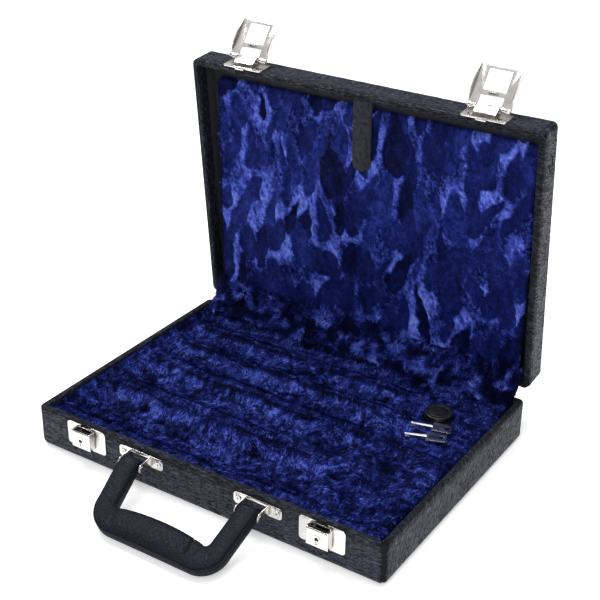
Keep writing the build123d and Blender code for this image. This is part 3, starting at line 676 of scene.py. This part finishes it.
def grow_pile(name, roots, normals, lay, length, upright, shade, flat_map, seed, width=0.6):
    """Blades of pile on given roots: lay is where they lean, shade how pale each one is."""
    chance = np.random.default_rng(seed)
    count = len(roots)
    lay = unit(lay - normals * (lay * normals).sum(-1, keepdims=True))
    spin = chance.uniform(-1, 1, (count, 1))
    across = unit(np.cross(normals, lay) + 0.9 * spin * lay) * width / 2
    length = (length * chance.uniform(0.75, 1.2, count))[:, None]
    up = np.clip(upright, 0.02, 0.95)[:, None]
    middle = roots + length * (0.5 * (0.35 + 0.65 * up) * normals + 0.42 * (1 - 0.6 * up) * lay)
    tip = roots + length * (up * normals + (1 - 0.55 * up) * lay)
    tip = tip + chance.normal(0, 0.12, (count, 3)) * length
    blade = [roots - across, roots + across, middle + across * 0.9, middle - across * 0.9, tip]
    points = np.stack(blade, 1).reshape(-1, 3)
    start = len(blade) * np.arange(count)[:, None]
    faces = [*(start + [[0, 1, 2, 3]]), *(start + [[3, 2, 4]])]
    # Painted shade and light along each blade: dark at the root, pale at the tip.
    pile = np.clip(shade, 0, 1)[:, None] * (0.2, 0.2, 0.8, 0.8, 1.05)
    made = make_piece(name, points, faces, "plush", {"pile": pile}, smooth=False)
    bake_map = made.data.uv_layers.new(name="OFBake")
    corners = np.zeros(len(made.data.loops), int)
    made.data.loops.foreach_get("vertex_index", corners)
    bake_map.data.foreach_set("uv", flat_map(points)[corners].astype(np.float32).ravel())
    return made


print("pile maps have a margin of", MAP_MARGIN, "mm")

# %% [markdown]
# ### The bed
# Under the plush is a moulded core with a channel for each joint of the instrument. The cloth lies
# loosely over it. Its height is one function of x and y, which the surface and the tufts share.

# %% Height of the bed
# Each channel: its middle line in y, half its width, where it starts and ends in x, and its depth.
CHANNELS = [
    (-73.0, 25.0, -152.0, 78.0, 12.0),
    (-15.0, 17.0, -152.0, 40.0, 9.0),
    (-15.0, 17.0, 54.0, 84.0, 8.0),
    (30.0, 15.0, -152.0, 66.0, 8.0),
    (66.0, 13.0, -152.0, -24.0, 7.0),
    (66.0, 13.0, -8.0, 80.0, 7.0),
    (99.0, 10.5, -152.0, 84.0, 5.5),
]
DIMPLES = [
    (72, 110), (-46, 110), (-36, 67), (-138, -12), (-85, -60), (-107, -55),
    (7, -58), (46, 21), (21, 4), (115, -20), (-120, 62), (60, 72), (-10, -95), (90, -60),
]
BED_X, BED_Y, BED_STEP = 163.4, 114.4, 1.3
TRAY_HIGH, RIM_BAND_HIGH = 26.4, 35.4
POT_AT, POT_HOLE = (114.0, 68.3), 13.3


def from_wall(x, y):
    return np.minimum(BED_X - np.abs(x), BED_Y - np.abs(y))


def dimpled(x, y, wide, tall):
    """1 in the middle of each small dimple of the cloth."""
    return sum(bell(x - at_x, wide) * bell(y - at_y, tall) for at_x, at_y in DIMPLES)


def wandering(x, y):
    """How far the loose cloth lets a channel stray from its straight line."""
    return 2.6 * smooth_noise(x, y, 21, 38, 60) + 1.0 * smooth_noise(x, y, 23, 11, 30)


def bed_height(x, y):
    """Height of the cloth above the floor, before the pile."""
    z = 30.8 + 0.9 * layered_noise(x, y, 3, 19) + 0.6 * smooth_noise(x, y, 8, 6)
    wander = wandering(x, y)
    for middle, radius, start, end, depth in CHANNELS:
        trough = np.clip(1 - ((y + wander - middle) / (radius + 1.5)) ** 2, 0, 1) ** 0.8
        z = z - depth * trough * between(x, start - 5, end + 5, 14)
    across = np.clip(1 - ((x + wander - 122) / 19) ** 2, 0, 1) ** 0.8
    z = z - 7.0 * across * between(y, -105, 7, 14)
    tray = between(x, 91, 162, 9, 7) * between(y, 8, 104, 9, 8)
    z = z * (1 - tray) + (TRAY_HIGH + 0.5 * smooth_noise(x, y, 17, 8)) * tray
    from_pot = np.hypot(x - POT_AT[0], y - POT_AT[1])
    z = z + 3.0 * bell(from_pot - 15.5, 4.5) - 9.0 * ease((POT_HOLE - from_pot) / 1.4)
    z = z - 3.5 * dimpled(x, y, 4.5, 3.5)
    right_gap = ease((x - 154) / 7)
    band = ease(1 - from_wall(x, y) / 5.5) ** 1.5 * (1 - right_gap)
    return z + (RIM_BAND_HIGH - z) * band - 4.5 * right_gap


bed_x, bed_y = np.meshgrid(
    np.arange(-BED_X, BED_X + 0.1, BED_STEP), np.arange(-BED_Y, BED_Y + 0.1, BED_STEP)
)
bed_z = bed_height(bed_x, bed_y)
print("bed from", bed_z.min().round(1), "to", bed_z.max().round(1), "mm")


# %% Shade and lean of the pile on the bed
def bed_shade(x, y):
    """How pale the pile is: painted light on the ridges, painted shade nearly black in the partings."""
    tuft = layered_noise(x + 2 * smooth_noise(x, y, 40, 7), y, 33, 5.4, 4.6)
    shade = 0.42 + 0.36 * tuft + 0.2 * layered_noise(x, y, 37, 30, 16, 2)
    wander = wandering(x, y)
    for middle, radius, start, end, _ in CHANNELS:
        # Painted light and shade on each channel: its far wall paler, its near wall darker, and a dark line
        # just behind it.
        off = y + wander - middle
        near_wall_shade, far_wall_light = bell(off + 0.8 * radius, 3.2), bell(off - 0.85 * radius, 4.0)
        walls = 0.16 * far_wall_light - 0.26 * near_wall_shade - 0.36 * bell(off - 1.15 * radius, 1.5)
        shade = shade + between(x, start, end, 10) * walls
    # Painted shade: darker in the dimples, in the partings and along the right wall, where the cloth drops
    # away.
    shade = shade - 0.9 * dimpled(x, y, 5.0, 4.0)
    parting = bell(smooth_noise(x, y, 51, 9, 7), 0.1)
    streak = layered_noise(x + 0.3 * y, y, 59, 1.7, 6.0, 2)
    return shade + 0.24 * streak - 0.32 * parting - 0.5 * ease((x - 154) / 6)


def bed_lean(x, y):
    """The direction in which the pile leans."""
    angle = 1.3 * layered_noise(x, y, 44, 26, 22, 2) + 1.0 * smooth_noise(x, y, 47, 6) - 1.3
    return xyz(np.cos(angle), np.sin(angle), 0)


bed_tone = {"pile": np.clip(bed_shade(bed_x, bed_y) * 0.55, 0, 1)}
bed_faces = grid_faces(*bed_x.shape)
bed = make_piece("bed_plush_cloth", xyz(bed_x, bed_y, bed_z), bed_faces, "plush", bed_tone)
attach(bed, "base")
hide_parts("bed_plush", "bed_core")
print("bed faces", len(bed.data.polygons))

# %% Tufts on the bed
BED_BLADES, BED_BLADE_WIDE = 42000, 0.46
BED_SPLITS = (-BED_Y, -38.0, 38.0, BED_Y)


def bed_map(points):
    """The pile on a flat map: the bed from above."""
    return (points[:, :2] + (BED_X + MAP_MARGIN, BED_Y + MAP_MARGIN)) / (2 * (BED_X + MAP_MARGIN))


def bed_pile(name, seed, front, back):
    """Tufted pile between two depths of the case."""
    chance = np.random.default_rng(seed)
    x = chance.uniform(-BED_X, BED_X, BED_BLADES)
    y = chance.uniform(front, back, BED_BLADES)
    on_cloth = np.hypot(x - POT_AT[0], y - POT_AT[1]) >= POT_HOLE
    x, y = x[on_cloth], y[on_cloth]
    slope_x = (bed_height(x + 0.7, y) - bed_height(x - 0.7, y)) / 1.4
    slope_y = (bed_height(x, y + 0.7) - bed_height(x, y - 0.7)) / 1.4
    border, tone = scattered_cells(x, y, 71, 4.8, 4.2)
    tray = between(x, 88, 163, 6) * between(y, 5, 104, 6)
    length = (3.1 + 1.8 * tone) * (1 - 0.4 * tray) * (0.6 + 0.4 * ease(from_wall(x, y) / 4))
    upright = 0.24 + 0.28 * tone + 0.15 * chance.uniform(-1, 1, len(x)) - 0.16 * tray
    by_side, by_end = BED_X - np.abs(x) < 4, BED_Y - np.abs(y) < 4
    lay = bed_lean(x, y) - 1.5 * xyz(np.sign(x) * by_side, np.sign(y) * by_end, 0)
    roots = xyz(x, y, bed_height(x, y) - 0.2)
    # Each tuft's own tone, with painted shade where tufts meet.
    shade = bed_shade(x, y) + 0.22 * (tone - 0.5) + 0.12 * ease(border * 3)
    shade = shade + 0.27 * chance.uniform(-1, 1, len(x))
    normals = unit(xyz(-slope_x, -slope_y, 1))
    return grow_pile(
        name, roots, normals, lay, length, upright, shade, bed_map, seed, BED_BLADE_WIDE
    )


for number, (front, back) in enumerate(zip(BED_SPLITS, BED_SPLITS[1:])):
    tufts = bed_pile(f"bed_pile_{number}", 100 + number, front, back)
    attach(tufts, "base")
print("bed blades", (number + 1) * BED_BLADES)

# %% [markdown]
# ### The lid panel
# The panel is a thin board in the same plush, pressed flat in leaf-shaped patches with standing pile
# between them, painted paler as sheen. Each patch is drawn round one scattered point, stretched
# upward, tilted by chance and bent with noise.

# %% Pattern of the crushed pile
PANEL_HALF, PANEL_LEN, PANEL_THICK, PANEL_ROUND = 157.5, 209.5, 3.8, 8.0
PANEL_FOOT, PANEL_SLANT = (109.0, 41.1), math.radians(-4.4)
LEAF_WIDE, LEAF_TALL = 18.0, 40.0


def panel_place(x, up, depth):
    """From the panel's own face to the open lid: up from its foot, depth behind its front."""
    return swing_open(turned(xyz(x, -up, depth), PANEL_SLANT, (0, 0), PANEL_FOOT))


def pressed_leaves(a, up, seed):
    """How far inside a pressed leaf each point is, and a number for that leaf."""
    table = np.random.default_rng(seed).uniform(0, 1, (53, 47, 6))
    inside, tone = np.zeros(a.shape), np.full(a.shape, 0.5)
    for from_x, from_up, chance in nearby_points(a, up, LEAF_WIDE, LEAF_TALL, table):
        from_x, from_up = from_x * LEAF_WIDE, from_up * LEAF_TALL
        tilt = 0.75 * (chance[..., 2] - 0.35)
        along = from_up * np.cos(tilt) + from_x * np.sin(tilt)
        across = from_x * np.cos(tilt) - from_up * np.sin(tilt)
        half_tall = 15 + 19 * chance[..., 3]
        half_wide = (4.2 + 8.5 * chance[..., 4] ** 1.5) * (1 - 0.4 * along / half_tall)
        reach = (along / half_tall) ** 2 + (across / np.maximum(half_wide, 2.0)) ** 2
        here = ease((1.08 - reach) / (0.1 + 0.55 * ease(along / half_tall + 0.4)))
        tone = np.where(here > inside, chance[..., 5], tone)
        inside = np.maximum(inside, here)
    return inside, tone


def crushed(x, up):
    """Standing pile from 0 in a pressed leaf to 1 between leaves, and how pale the spot is, with painted
    sheen on the standing pile.
    """
    a = x + 7.0 * layered_noise(x, up, 5, 22, 30, 2) + 1.3 * smooth_noise(x, up, 6, 5, 7)
    b = up + 8.0 * layered_noise(x, up, 9, 24, 34, 2) + 2.0 * smooth_noise(x, up, 10, 6)
    inside, tone = pressed_leaves(a, b, 12)
    standing = 1 - inside
    streaks = layered_noise(a + 0.25 * b, b, 18, 2.6, 12)
    sheen_patch = ease(0.5 + 1.1 * layered_noise(x, up, 22, 21, 30, 2))
    speckle = smooth_noise(x, up, 24, 1.3, 1.6) + 0.7 * smooth_noise(x, up, 26, 2.6, 3.5)
    pale = 0.34 + 0.17 * (tone - 0.5) + 0.08 * layered_noise(x, up, 25, 5, 12) + 0.08 * speckle
    # Painted sheen: the standing pile is painted paler, most in broad patches.
    pale = pale + standing * (0.07 + 0.42 * sheen_patch + 0.16 * streaks + 0.14 * speckle)
    dark_leaf = inside * ease((0.13 - tone) * 14)
    return standing, pale - 0.08 * dark_leaf


panel_x, panel_up = np.meshgrid(
    np.linspace(-PANEL_HALF, PANEL_HALF, 250), np.linspace(0, PANEL_LEN, 164)
)
standing, pale = crushed(panel_x, panel_up)
print("standing share", standing.mean().round(2), "palest", pale.max().round(2))


# %% Cloth of the lid panel
def round_corners(x, up):
    """Pull a rectangle's corners in to a rounded outline."""
    straight_x, straight_up = PANEL_HALF - PANEL_ROUND, PANEL_LEN / 2 - PANEL_ROUND
    from_middle = up - PANEL_LEN / 2
    over_x, over_up = np.abs(x) - straight_x, np.abs(from_middle) - straight_up
    far = np.hypot(over_x, over_up)
    corner = (over_x > 0) & (over_up > 0) & (far > PANEL_ROUND)
    shrink = PANEL_ROUND / np.maximum(far, 1e-6)
    new_x = np.sign(x) * (straight_x + over_x * shrink)
    new_up = PANEL_LEN / 2 + np.sign(from_middle) * (straight_up + over_up * shrink)
    return np.where(corner, new_x, x), np.where(corner, new_up, up)


def from_edge(x, up):
    return np.minimum(PANEL_HALF - np.abs(x), np.minimum(up, PANEL_LEN - up))


edge = ease(from_edge(panel_x, panel_up) / 3)
depth = 0.9 - 1.6 * standing - 0.5 * layered_noise(panel_x, panel_up, 27, 11)
depth = depth * edge + 2.2 * (1 - edge)
depth = np.pad(depth, 1, constant_values=PANEL_THICK)
pad_x, pad_up = round_corners(*(np.pad(v, 1, mode="edge") for v in (panel_x, panel_up)))
panel_tone = {"pile": np.pad(np.clip(pale, 0, 1), 1, mode="edge")}
panel_faces = grid_faces(*pad_x.shape)[:, ::-1]
panel_points = panel_place(pad_x, pad_up, depth)
panel = make_piece("lid_panel_cloth", panel_points, panel_faces, "plush", panel_tone)
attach(panel, "lid_panel")
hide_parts("panel_plush")
print("panel faces", len(panel.data.polygons))

# %% Pile of the lid panel
PANEL_BLADES, PANEL_BLADE_WIDE = 44000, 0.45
PANEL_SPLITS = (0.5, 105.0, PANEL_LEN - 0.5)
PANEL_LOW = 45.0  # the panel hangs above this height in mm


def panel_map(points):
    """The pile on a flat map: the panel from the front."""
    return (points[:, [0, 2]] + (PANEL_HALF + MAP_MARGIN, -PANEL_LOW)) / (2 * (PANEL_HALF + MAP_MARGIN))


def panel_pile(name, seed, low, high):
    """Short pile, pressed down in the leaves and standing on their borders."""
    chance = np.random.default_rng(seed)
    x = chance.uniform(-PANEL_HALF + 0.5, PANEL_HALF - 0.5, PANEL_BLADES)
    up = chance.uniform(low, high, PANEL_BLADES)
    stand, shade = crushed(x, up)
    x, up = round_corners(x, up)
    edge = ease(from_edge(x, up) / 3)
    depth = (0.95 - 1.6 * stand) * edge + 2.0 * (1 - edge)
    roots = panel_place(x, up, depth)
    normals = unit(panel_place(x, up, depth - 1) - roots)
    angle = 0.9 + 0.9 * layered_noise(x, up, 55, 40, 50, 2) + 0.9 * stand * smooth_noise(x, up, 57, 6)
    outward = ease(1 - from_edge(x, up) / 2.5)
    ragged = 1.0 + 0.8 * layered_noise(x, up, 58, 7)
    foot = ease(1 - up / (7 * ragged)) * ragged
    lean_x = np.cos(angle) + 2 * outward * np.sign(x) * (PANEL_HALF - np.abs(x) < 3)
    lean_up = np.sin(angle) + 2 * outward * ((PANEL_LEN - up < 3) * 1.0 - (up < 3)) - 3 * foot
    lay = panel_place(x + lean_x, up + lean_up, depth) - roots
    length = 1.7 + 0.8 * stand + 2.4 * outward + 3.2 * foot
    upright = 0.08 + 0.42 * stand + 0.1 * chance.uniform(-1, 1, PANEL_BLADES) + 0.2 * foot
    # Painted shade: blades at the panel's edges are darker.
    shade = shade * 1.12 + (0.12 + 0.32 * stand) * chance.uniform(-1, 1, PANEL_BLADES) - 0.12 * outward
    return grow_pile(
        name, roots, normals, lay, length, upright, shade, panel_map, seed, PANEL_BLADE_WIDE
    )


for number, (low, high) in enumerate(zip(PANEL_SPLITS, PANEL_SPLITS[1:])):
    fuzz = panel_pile(f"lid_panel_pile_{number}", 200 + number, low, high)
    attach(fuzz, "lid_panel")
print("panel blades", (number + 1) * PANEL_BLADES)

# %% [markdown]
# ### Plush over the hinge
# One strip of cloth runs from the bed over the rear rim to the foot of the panel, so nothing drops
# into the hinge. It and its pile are drawn as they lie with the lid open.

# %% Bridge cloth
BRIDGE_HALF = 162.0
BRIDGE_Y = (110.5, 112.6, 115.8, 120.2, 122.8, 123.8, 125.4, 126.6)
BRIDGE_Z = (34.6, 38.2, 40.2, 41.6, 45.2, 50.4, 55.4, 60.0)


def bridge_point(x, share):
    """A point of the strip: share goes from the bed to the panel; the cloth bulges and sags."""
    share_in = np.clip(share, 0, 1)
    where = share_in * (len(BRIDGE_Y) - 1)
    y, z = (np.interp(where, range(len(BRIDGE_Y)), line) for line in (BRIDGE_Y, BRIDGE_Z))
    bulge = np.sin(math.pi * share_in) * (1.0 + 1.3 * layered_noise(x, share * 24, 63, 15, 9))
    return xyz(x, y - bulge, z + 0.7 * bulge)


bridge_x, bridge_share = np.meshgrid(
    np.linspace(-BRIDGE_HALF, BRIDGE_HALF, 241), np.linspace(0, 1, 26)
)
bridge_points = bridge_point(bridge_x, bridge_share)
bridge_tone = np.clip(0.3 + 0.25 * layered_noise(bridge_x, bridge_share * 26, 65, 9, 5), 0, 1)
bridge_faces = grid_faces(*bridge_x.shape)
bridge = make_piece("hinge_plush_cloth", bridge_points, bridge_faces, "plush", {"pile": bridge_tone})
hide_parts("hinge_gusset")

# %% Pile of the bridge cloth
BRIDGE_BLADES = 22000
ALONG_X = np.array([1.0, 0, 0])


def bridge_map(points):
    """The pile on a flat map: the strip unrolled."""
    up = (points[:, 1] + points[:, 2]) * 1.6 - 180
    return np.stack([points[:, 0] + HALF_X, up], -1) / (2 * HALF_X)


def bridge_pile(name, seed):
    """Long loose pile that leans over the foot of the panel."""
    chance = np.random.default_rng(seed)
    x = chance.uniform(-BRIDGE_HALF, BRIDGE_HALF, BRIDGE_BLADES)
    share = chance.uniform(0, 1, BRIDGE_BLADES)
    step_on = bridge_point(x, share + 0.03) - bridge_point(x, share - 0.03)
    angle = 2.4 * layered_noise(x, share * 26, 67, 12, 9) - 1.3
    _, tone = scattered_cells(x, share * 34, 69, 6.5, 7.0)
    over_foot = ease((share - 0.72) / 0.2) * ease(0.5 + 1.5 * layered_noise(x, share, 70, 8))
    length = (4.5 + 3.0 * tone) * (0.6 + 0.4 * ease((BRIDGE_HALF - np.abs(x)) / 3))
    upward = (np.sin(angle) + 3.0 * over_foot)[:, None]
    lay = np.cos(angle)[:, None] * ALONG_X + upward * unit(step_on)
    shade = 0.4 + 0.75 * layered_noise(x, share * 26, 65, 8, 7) + 0.2 * (tone - 0.5)
    return grow_pile(
        name, bridge_point(x, share), unit(np.cross(ALONG_X, step_on)), lay,
        length + 3.5 * over_foot, 0.25 + 0.4 * tone - 0.1 * over_foot,
        shade + 0.2 * chance.uniform(-1, 1, BRIDGE_BLADES), bridge_map, seed + 1,
    )


for cloth in (bridge, bridge_pile("hinge_plush_pile", 300)):
    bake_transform(cloth)
print("bridge blades", BRIDGE_BLADES)

# %% [markdown]
# ## Handle
# The grip is a padded leather sleeve over a steel strip, small and square at the pins, round and
# full in the middle. A line is walked from pin to pin, and at each step a rounded section is set
# across it. Seams and folds are pushed in or out of that same skin.

# %% Outline of the handle
PIVOT, TILT = (-134.0, 28.5), math.radians(21.8)
ARM_OUT, ARM_IN, EYE = 66.5, 48.5, 6.25
GRIP_OUT, GRIP_IN, GRIP_END_IN = 62.5, 35.0, 39.5
OUTER_BEND, INNER_BEND = 24.0, 4.0
ARM_THICK, GRIP_THICK = 12.5, 16.4
ARM_STRAIGHT, TAPER, LEAN = 6.0, 3.5, 5.0


def handle_rows(out_x, out_y, in_x, in_y, swell=0.0):
    """Stations from pin to pin: outer edge, inner edge and share of the swell."""
    return np.stack(np.broadcast_arrays(out_x, out_y, in_x, in_y, swell), -1)


y = np.linspace(EYE - 0.05, -ARM_STRAIGHT, 16)
down = np.linspace(0.03, 1, 40)
out_y = -ARM_STRAIGHT - down * (GRIP_OUT - OUTER_BEND - ARM_STRAIGHT)
in_y = -ARM_STRAIGHT - down * (GRIP_END_IN - INNER_BEND - ARM_STRAIGHT)
bend = np.radians(np.linspace(3, 90, 32))
bend_x, bend_y = 1 - np.cos(bend), 1 - np.sin(bend)
arm_out, arm_in = ARM_OUT - TAPER, ARM_IN - TAPER
outer_bend = arm_out - OUTER_BEND * bend_x, OUTER_BEND * bend_y - GRIP_OUT
inner_bend = arm_in - INNER_BEND * bend_x, INNER_BEND * bend_y - GRIP_END_IN
left = 1 - np.linspace(0.016, 1, 64)
swell = np.sin(math.pi / 2 * (1 - left)) ** 0.7
grip_out, grip_in = (arm_out - OUTER_BEND) * left, (arm_in - INNER_BEND) * left
half = [
    handle_rows(ARM_OUT, y, ARM_IN, y),
    handle_rows(ARM_OUT - TAPER * down, out_y, ARM_IN - TAPER * down, in_y),
    handle_rows(*outer_bend, *inner_bend),
    handle_rows(grip_out, -GRIP_OUT, grip_in, (GRIP_END_IN - GRIP_IN) * swell - GRIP_END_IN, swell),
]
half = np.concatenate(half)
outline = np.concatenate([half * (-1, 1, -1, 1, 1), half[-2::-1]])
for x in (0, 2):
    outline[:, x] += LEAN * np.maximum(0, -outline[:, x + 1] - ARM_STRAIGHT) / GRIP_OUT
print("handle stations", len(outline))

# %% Skin of the handle
TURNS, SKIN_RADIUS = 64, 8.5
WELT_AT, WELT_WIDE, DITCH_WIDE = 0.42, 0.09, 0.08
LEFT_FOLD, RIGHT_FOLD = -35.0, 36.0
outer, inner, swell = outline[:, None, :2], outline[:, None, 2:4], outline[:, 4:]
middle, reach = (outer + inner) / 2, (outer - inner) / 2
half_wide = np.linalg.norm(reach, axis=-1)
eye = np.clip(middle[..., 1], 0, EYE - 0.01) / EYE
half_thick = (ARM_THICK + (GRIP_THICK - ARM_THICK) * swell) / 2 * np.sqrt(1 - eye**2)
phi = np.linspace(0, 2 * math.pi, TURNS, endpoint=False)
squared = 2 / (3.6 - 0.9 * swell)
wide, thick = (np.sign(wave) * np.abs(wave) ** squared for wave in (np.cos(phi), np.sin(phi)))
s, around = np.broadcast_arrays(arc_length(middle[:, 0])[:, None], phi * SKIN_RADIUS)
grain = layered_noise(s, around, 81, 2.2)
welt = bell(phi - WELT_AT, WELT_WIDE)
ditch = bell(phi - WELT_AT - 0.2, DITCH_WIDE) + bell(phi - WELT_AT + 0.22, DITCH_WIDE)
fold_x = np.where(middle[..., 0] > 0, RIGHT_FOLD, LEFT_FOLD)
on_grip = (middle[..., 1] < -GRIP_END_IN) * ease((0.45 - wide) / 0.35) * (0.3 + 0.7 * (fold_x > 0))
fold = bell(middle[..., 0] - fold_x - 1.6 * wide, 0.9) * on_grip
lift = 0.035 * grain + 0.55 * welt - 0.35 * ditch - 0.8 * fold
plan = middle + reach * (wide * (half_wide + lift) / half_wide)[..., None]
rise = thick * (half_thick + lift * (half_thick > 3))
hanging = turned(xyz(plan[..., 0], plan[..., 1], rise), TILT, (0, 0), PIVOT)
# Painted light on the raised welt, painted shade in the ditches beside it and in the fold.
relief = grain_numbers(0.5 + 0.12 * grain + 0.35 * welt - 0.4 * ditch - 0.8 * fold, s, around)
skin_faces = tube_faces(*rise.shape)
handle = make_piece("handle_padded_skin", hanging, skin_faces, "handle_leather", relief)
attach(handle, "handle")
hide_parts("handle_cover")
print("handle skin points", len(handle.data.vertices))

# %% [markdown]
# ## Metal parts
# Locks, hasps, brackets and hinges are pressed and plated. The CAD solids have knife-sharp edges,
# which never catch a highlight, so a copy of each mesh gets its edges rounded by a fraction of a
# millimetre, and stands for the solid.


# %% Rounded copies of pressed metal
EDGES_MM = {"nickel": 0.18, "key_steel": 0.42, "pot_plastic": 0.2}
SAME_POINT, SAME_FACE, SHARP_EDGE = 2e-6, 0.02, math.radians(32)


def softened(node, slot, suffix):
    """A copy of a CAD node with small rounded edges, riding on the node's body."""
    source = frame["nodes"][node]
    mesh = source.data.copy()
    work = bmesh.new()
    work.from_mesh(mesh)
    bmesh.ops.remove_doubles(work, verts=work.verts, dist=SAME_POINT)
    bmesh.ops.dissolve_limit(work, angle_limit=SAME_FACE, verts=work.verts, edges=work.edges)
    work.to_mesh(mesh)
    work.free()
    mesh.materials.clear()
    mesh.materials.append(FINISHES[slot])
    mesh.shade_smooth()
    made = new_object(node + suffix, mesh)
    rounding = made.modifiers.new("rounded_edges", "BEVEL")
    rounding.width = EDGES_MM[slot] * MM
    rounding.segments = 2
    rounding.limit_method = "ANGLE"
    rounding.angle_limit = SHARP_EDGE
    rounding.harden_normals = True
    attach(made, source["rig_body"])
    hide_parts(node)


PLATED = [
    "lock_plate", "lock_box", "hasp_plate", "hasp", "hinge_leaf_base", "hinge_leaf_lid", "handle_bracket",
]
for part in PLATED:
    for side in ("left", "right"):
        softened(f"{part}_{side}", "nickel", "_plated")
print("plated copies", 2 * len(PLATED))

# %% Keys and pot
for node in ("key_1", "key_2"):
    softened(node, "key_steel", "_bright")
for node in ("pot_jar", "pot_lid"):
    softened(node, "pot_plastic", "_moulded")
print("keys and pot rounded")

# %% [markdown]
# ## Pull strap
# A strip of leather is sewn to the top of the panel, looped over its edge, and hangs in front with
# a rounded end. It is a thin slab with pared edges and a shallow groove for each row of stitches.

# %% Strap
STRAP_X, STRAP_HALF, STRAP_T = -3.0, 9.5, 1.6
HANGS, LOOP_RISE, SEWN_TO = 57.9, 7.0, 3.5
strap_front = -0.3 - STRAP_T / 2
strap_root = PANEL_THICK / 2 - 0.2
loop_r = (strap_root - strap_front) / 2
loop_top = PANEL_LEN + LOOP_RISE
strap_tip = PANEL_LEN - HANGS
front_run = [
    (up, strap_front - 0.5 * math.sin((up - strap_tip) / 65 * math.pi))
    for up in np.arange(strap_tip, loop_top, 0.8)
]
loop_run = [
    (loop_top + loop_r * math.sin(a), (strap_front + strap_root) / 2 - loop_r * math.cos(a))
    for a in np.linspace(0.1, math.pi, 14)
]
sewn_run = [(loop_top - SEWN_TO, strap_root), (PANEL_LEN, strap_root)]
strap_line = np.array(front_run + loop_run + sewn_run)
along_strap = arc_length(strap_line)
print("strap length", along_strap[-1].round(1), "mm")

# %% Strap skin
FLAT_SIDE = 0.9  # above this share of the half thickness lies the flat front
lead = unit(np.gradient(strap_line, axis=0))
outward = np.stack([lead[:, 1], -lead[:, 0]], -1)
from_round = np.clip(STRAP_HALF - along_strap, 0, STRAP_HALF) / STRAP_HALF
tip_reach = STRAP_HALF * np.sqrt(np.clip(1 - from_round**2, 0.002, 1))
pared = [(-1, 0.0), (-0.97, 0.75), (-0.9, 1.0)]
back = [(0.9, -1.0), (0, -1.0), (-0.9, -1.0), (-0.97, -0.75)]
section = pared + [(w, 1.0) for w in np.linspace(-0.86, 0.86, 23)]
section += [(-w, t) for w, t in reversed(pared)] + [(0.97, -0.75)] + back
across, high = np.array(section).T
in_front = high > FLAT_SIDE
side_x = STRAP_X + tip_reach[:, None] * across
along = np.broadcast_to(along_strap[:, None], side_x.shape)
thick = high * STRAP_T / 2 - 0.12 * bell(np.abs(across) - 0.8, 0.05) * in_front
thick = thick + 0.05 * layered_noise(side_x, along, 88, 3) * in_front
strap_up, strap_deep = (strap_line[:, k, None] - outward[:, k, None] * thick for k in (0, 1))
strap_points = panel_place(side_x, strap_up, strap_deep)
strap = make_piece("pull_strap_leather", strap_points, tube_faces(*side_x.shape), "strap_leather", {})
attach(strap, "lid_panel")
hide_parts("panel_strap")
print("strap points", side_x.size)

# %% [markdown]
# ## The remaining solids
# Boards, lining, pins, springs, bolts and screws keep their CAD shape. Each takes the finish of its
# slot in the record.

# %% Finishes of the CAD nodes
for solid in frame["nodes"].values():
    for material_slot in solid.material_slots:
        material_slot.material = FINISHES[material_slot.material.name.split(".")[0]]
print("dressed nodes", len(frame["nodes"]))

# %% Floor
FLOOR_HALF, FLOOR_Z, FLOOR_GLOW = 4, -0.0006, 0.42
floor_corners = [(FLOOR_HALF * x, FLOOR_HALF * y, FLOOR_Z) for x, y in ((-1, -1), (1, -1), (1, 1), (-1, 1))]
floor_mesh = bpy.data.meshes.new("floor")
floor_mesh.from_pydata(floor_corners, [], [(0, 1, 2, 3)])
floor = new_object("floor", floor_mesh)
paper = new_finish(
    "white_paper", Roughness=0.9, Emission_Color=(1, 1, 1, 1), Emission_Strength=FLOOR_GLOW
)
paper_tone = noise(paper, own_place(paper), 40)
into_shader(paper, Base_Color=grey_ramp(paper, paper_tone, (0.3, 0.93), (0.7, 0.96)))
floor_mesh.materials.append(paper)
print("floor below the case", floor_mesh.vertices[0].co.z)
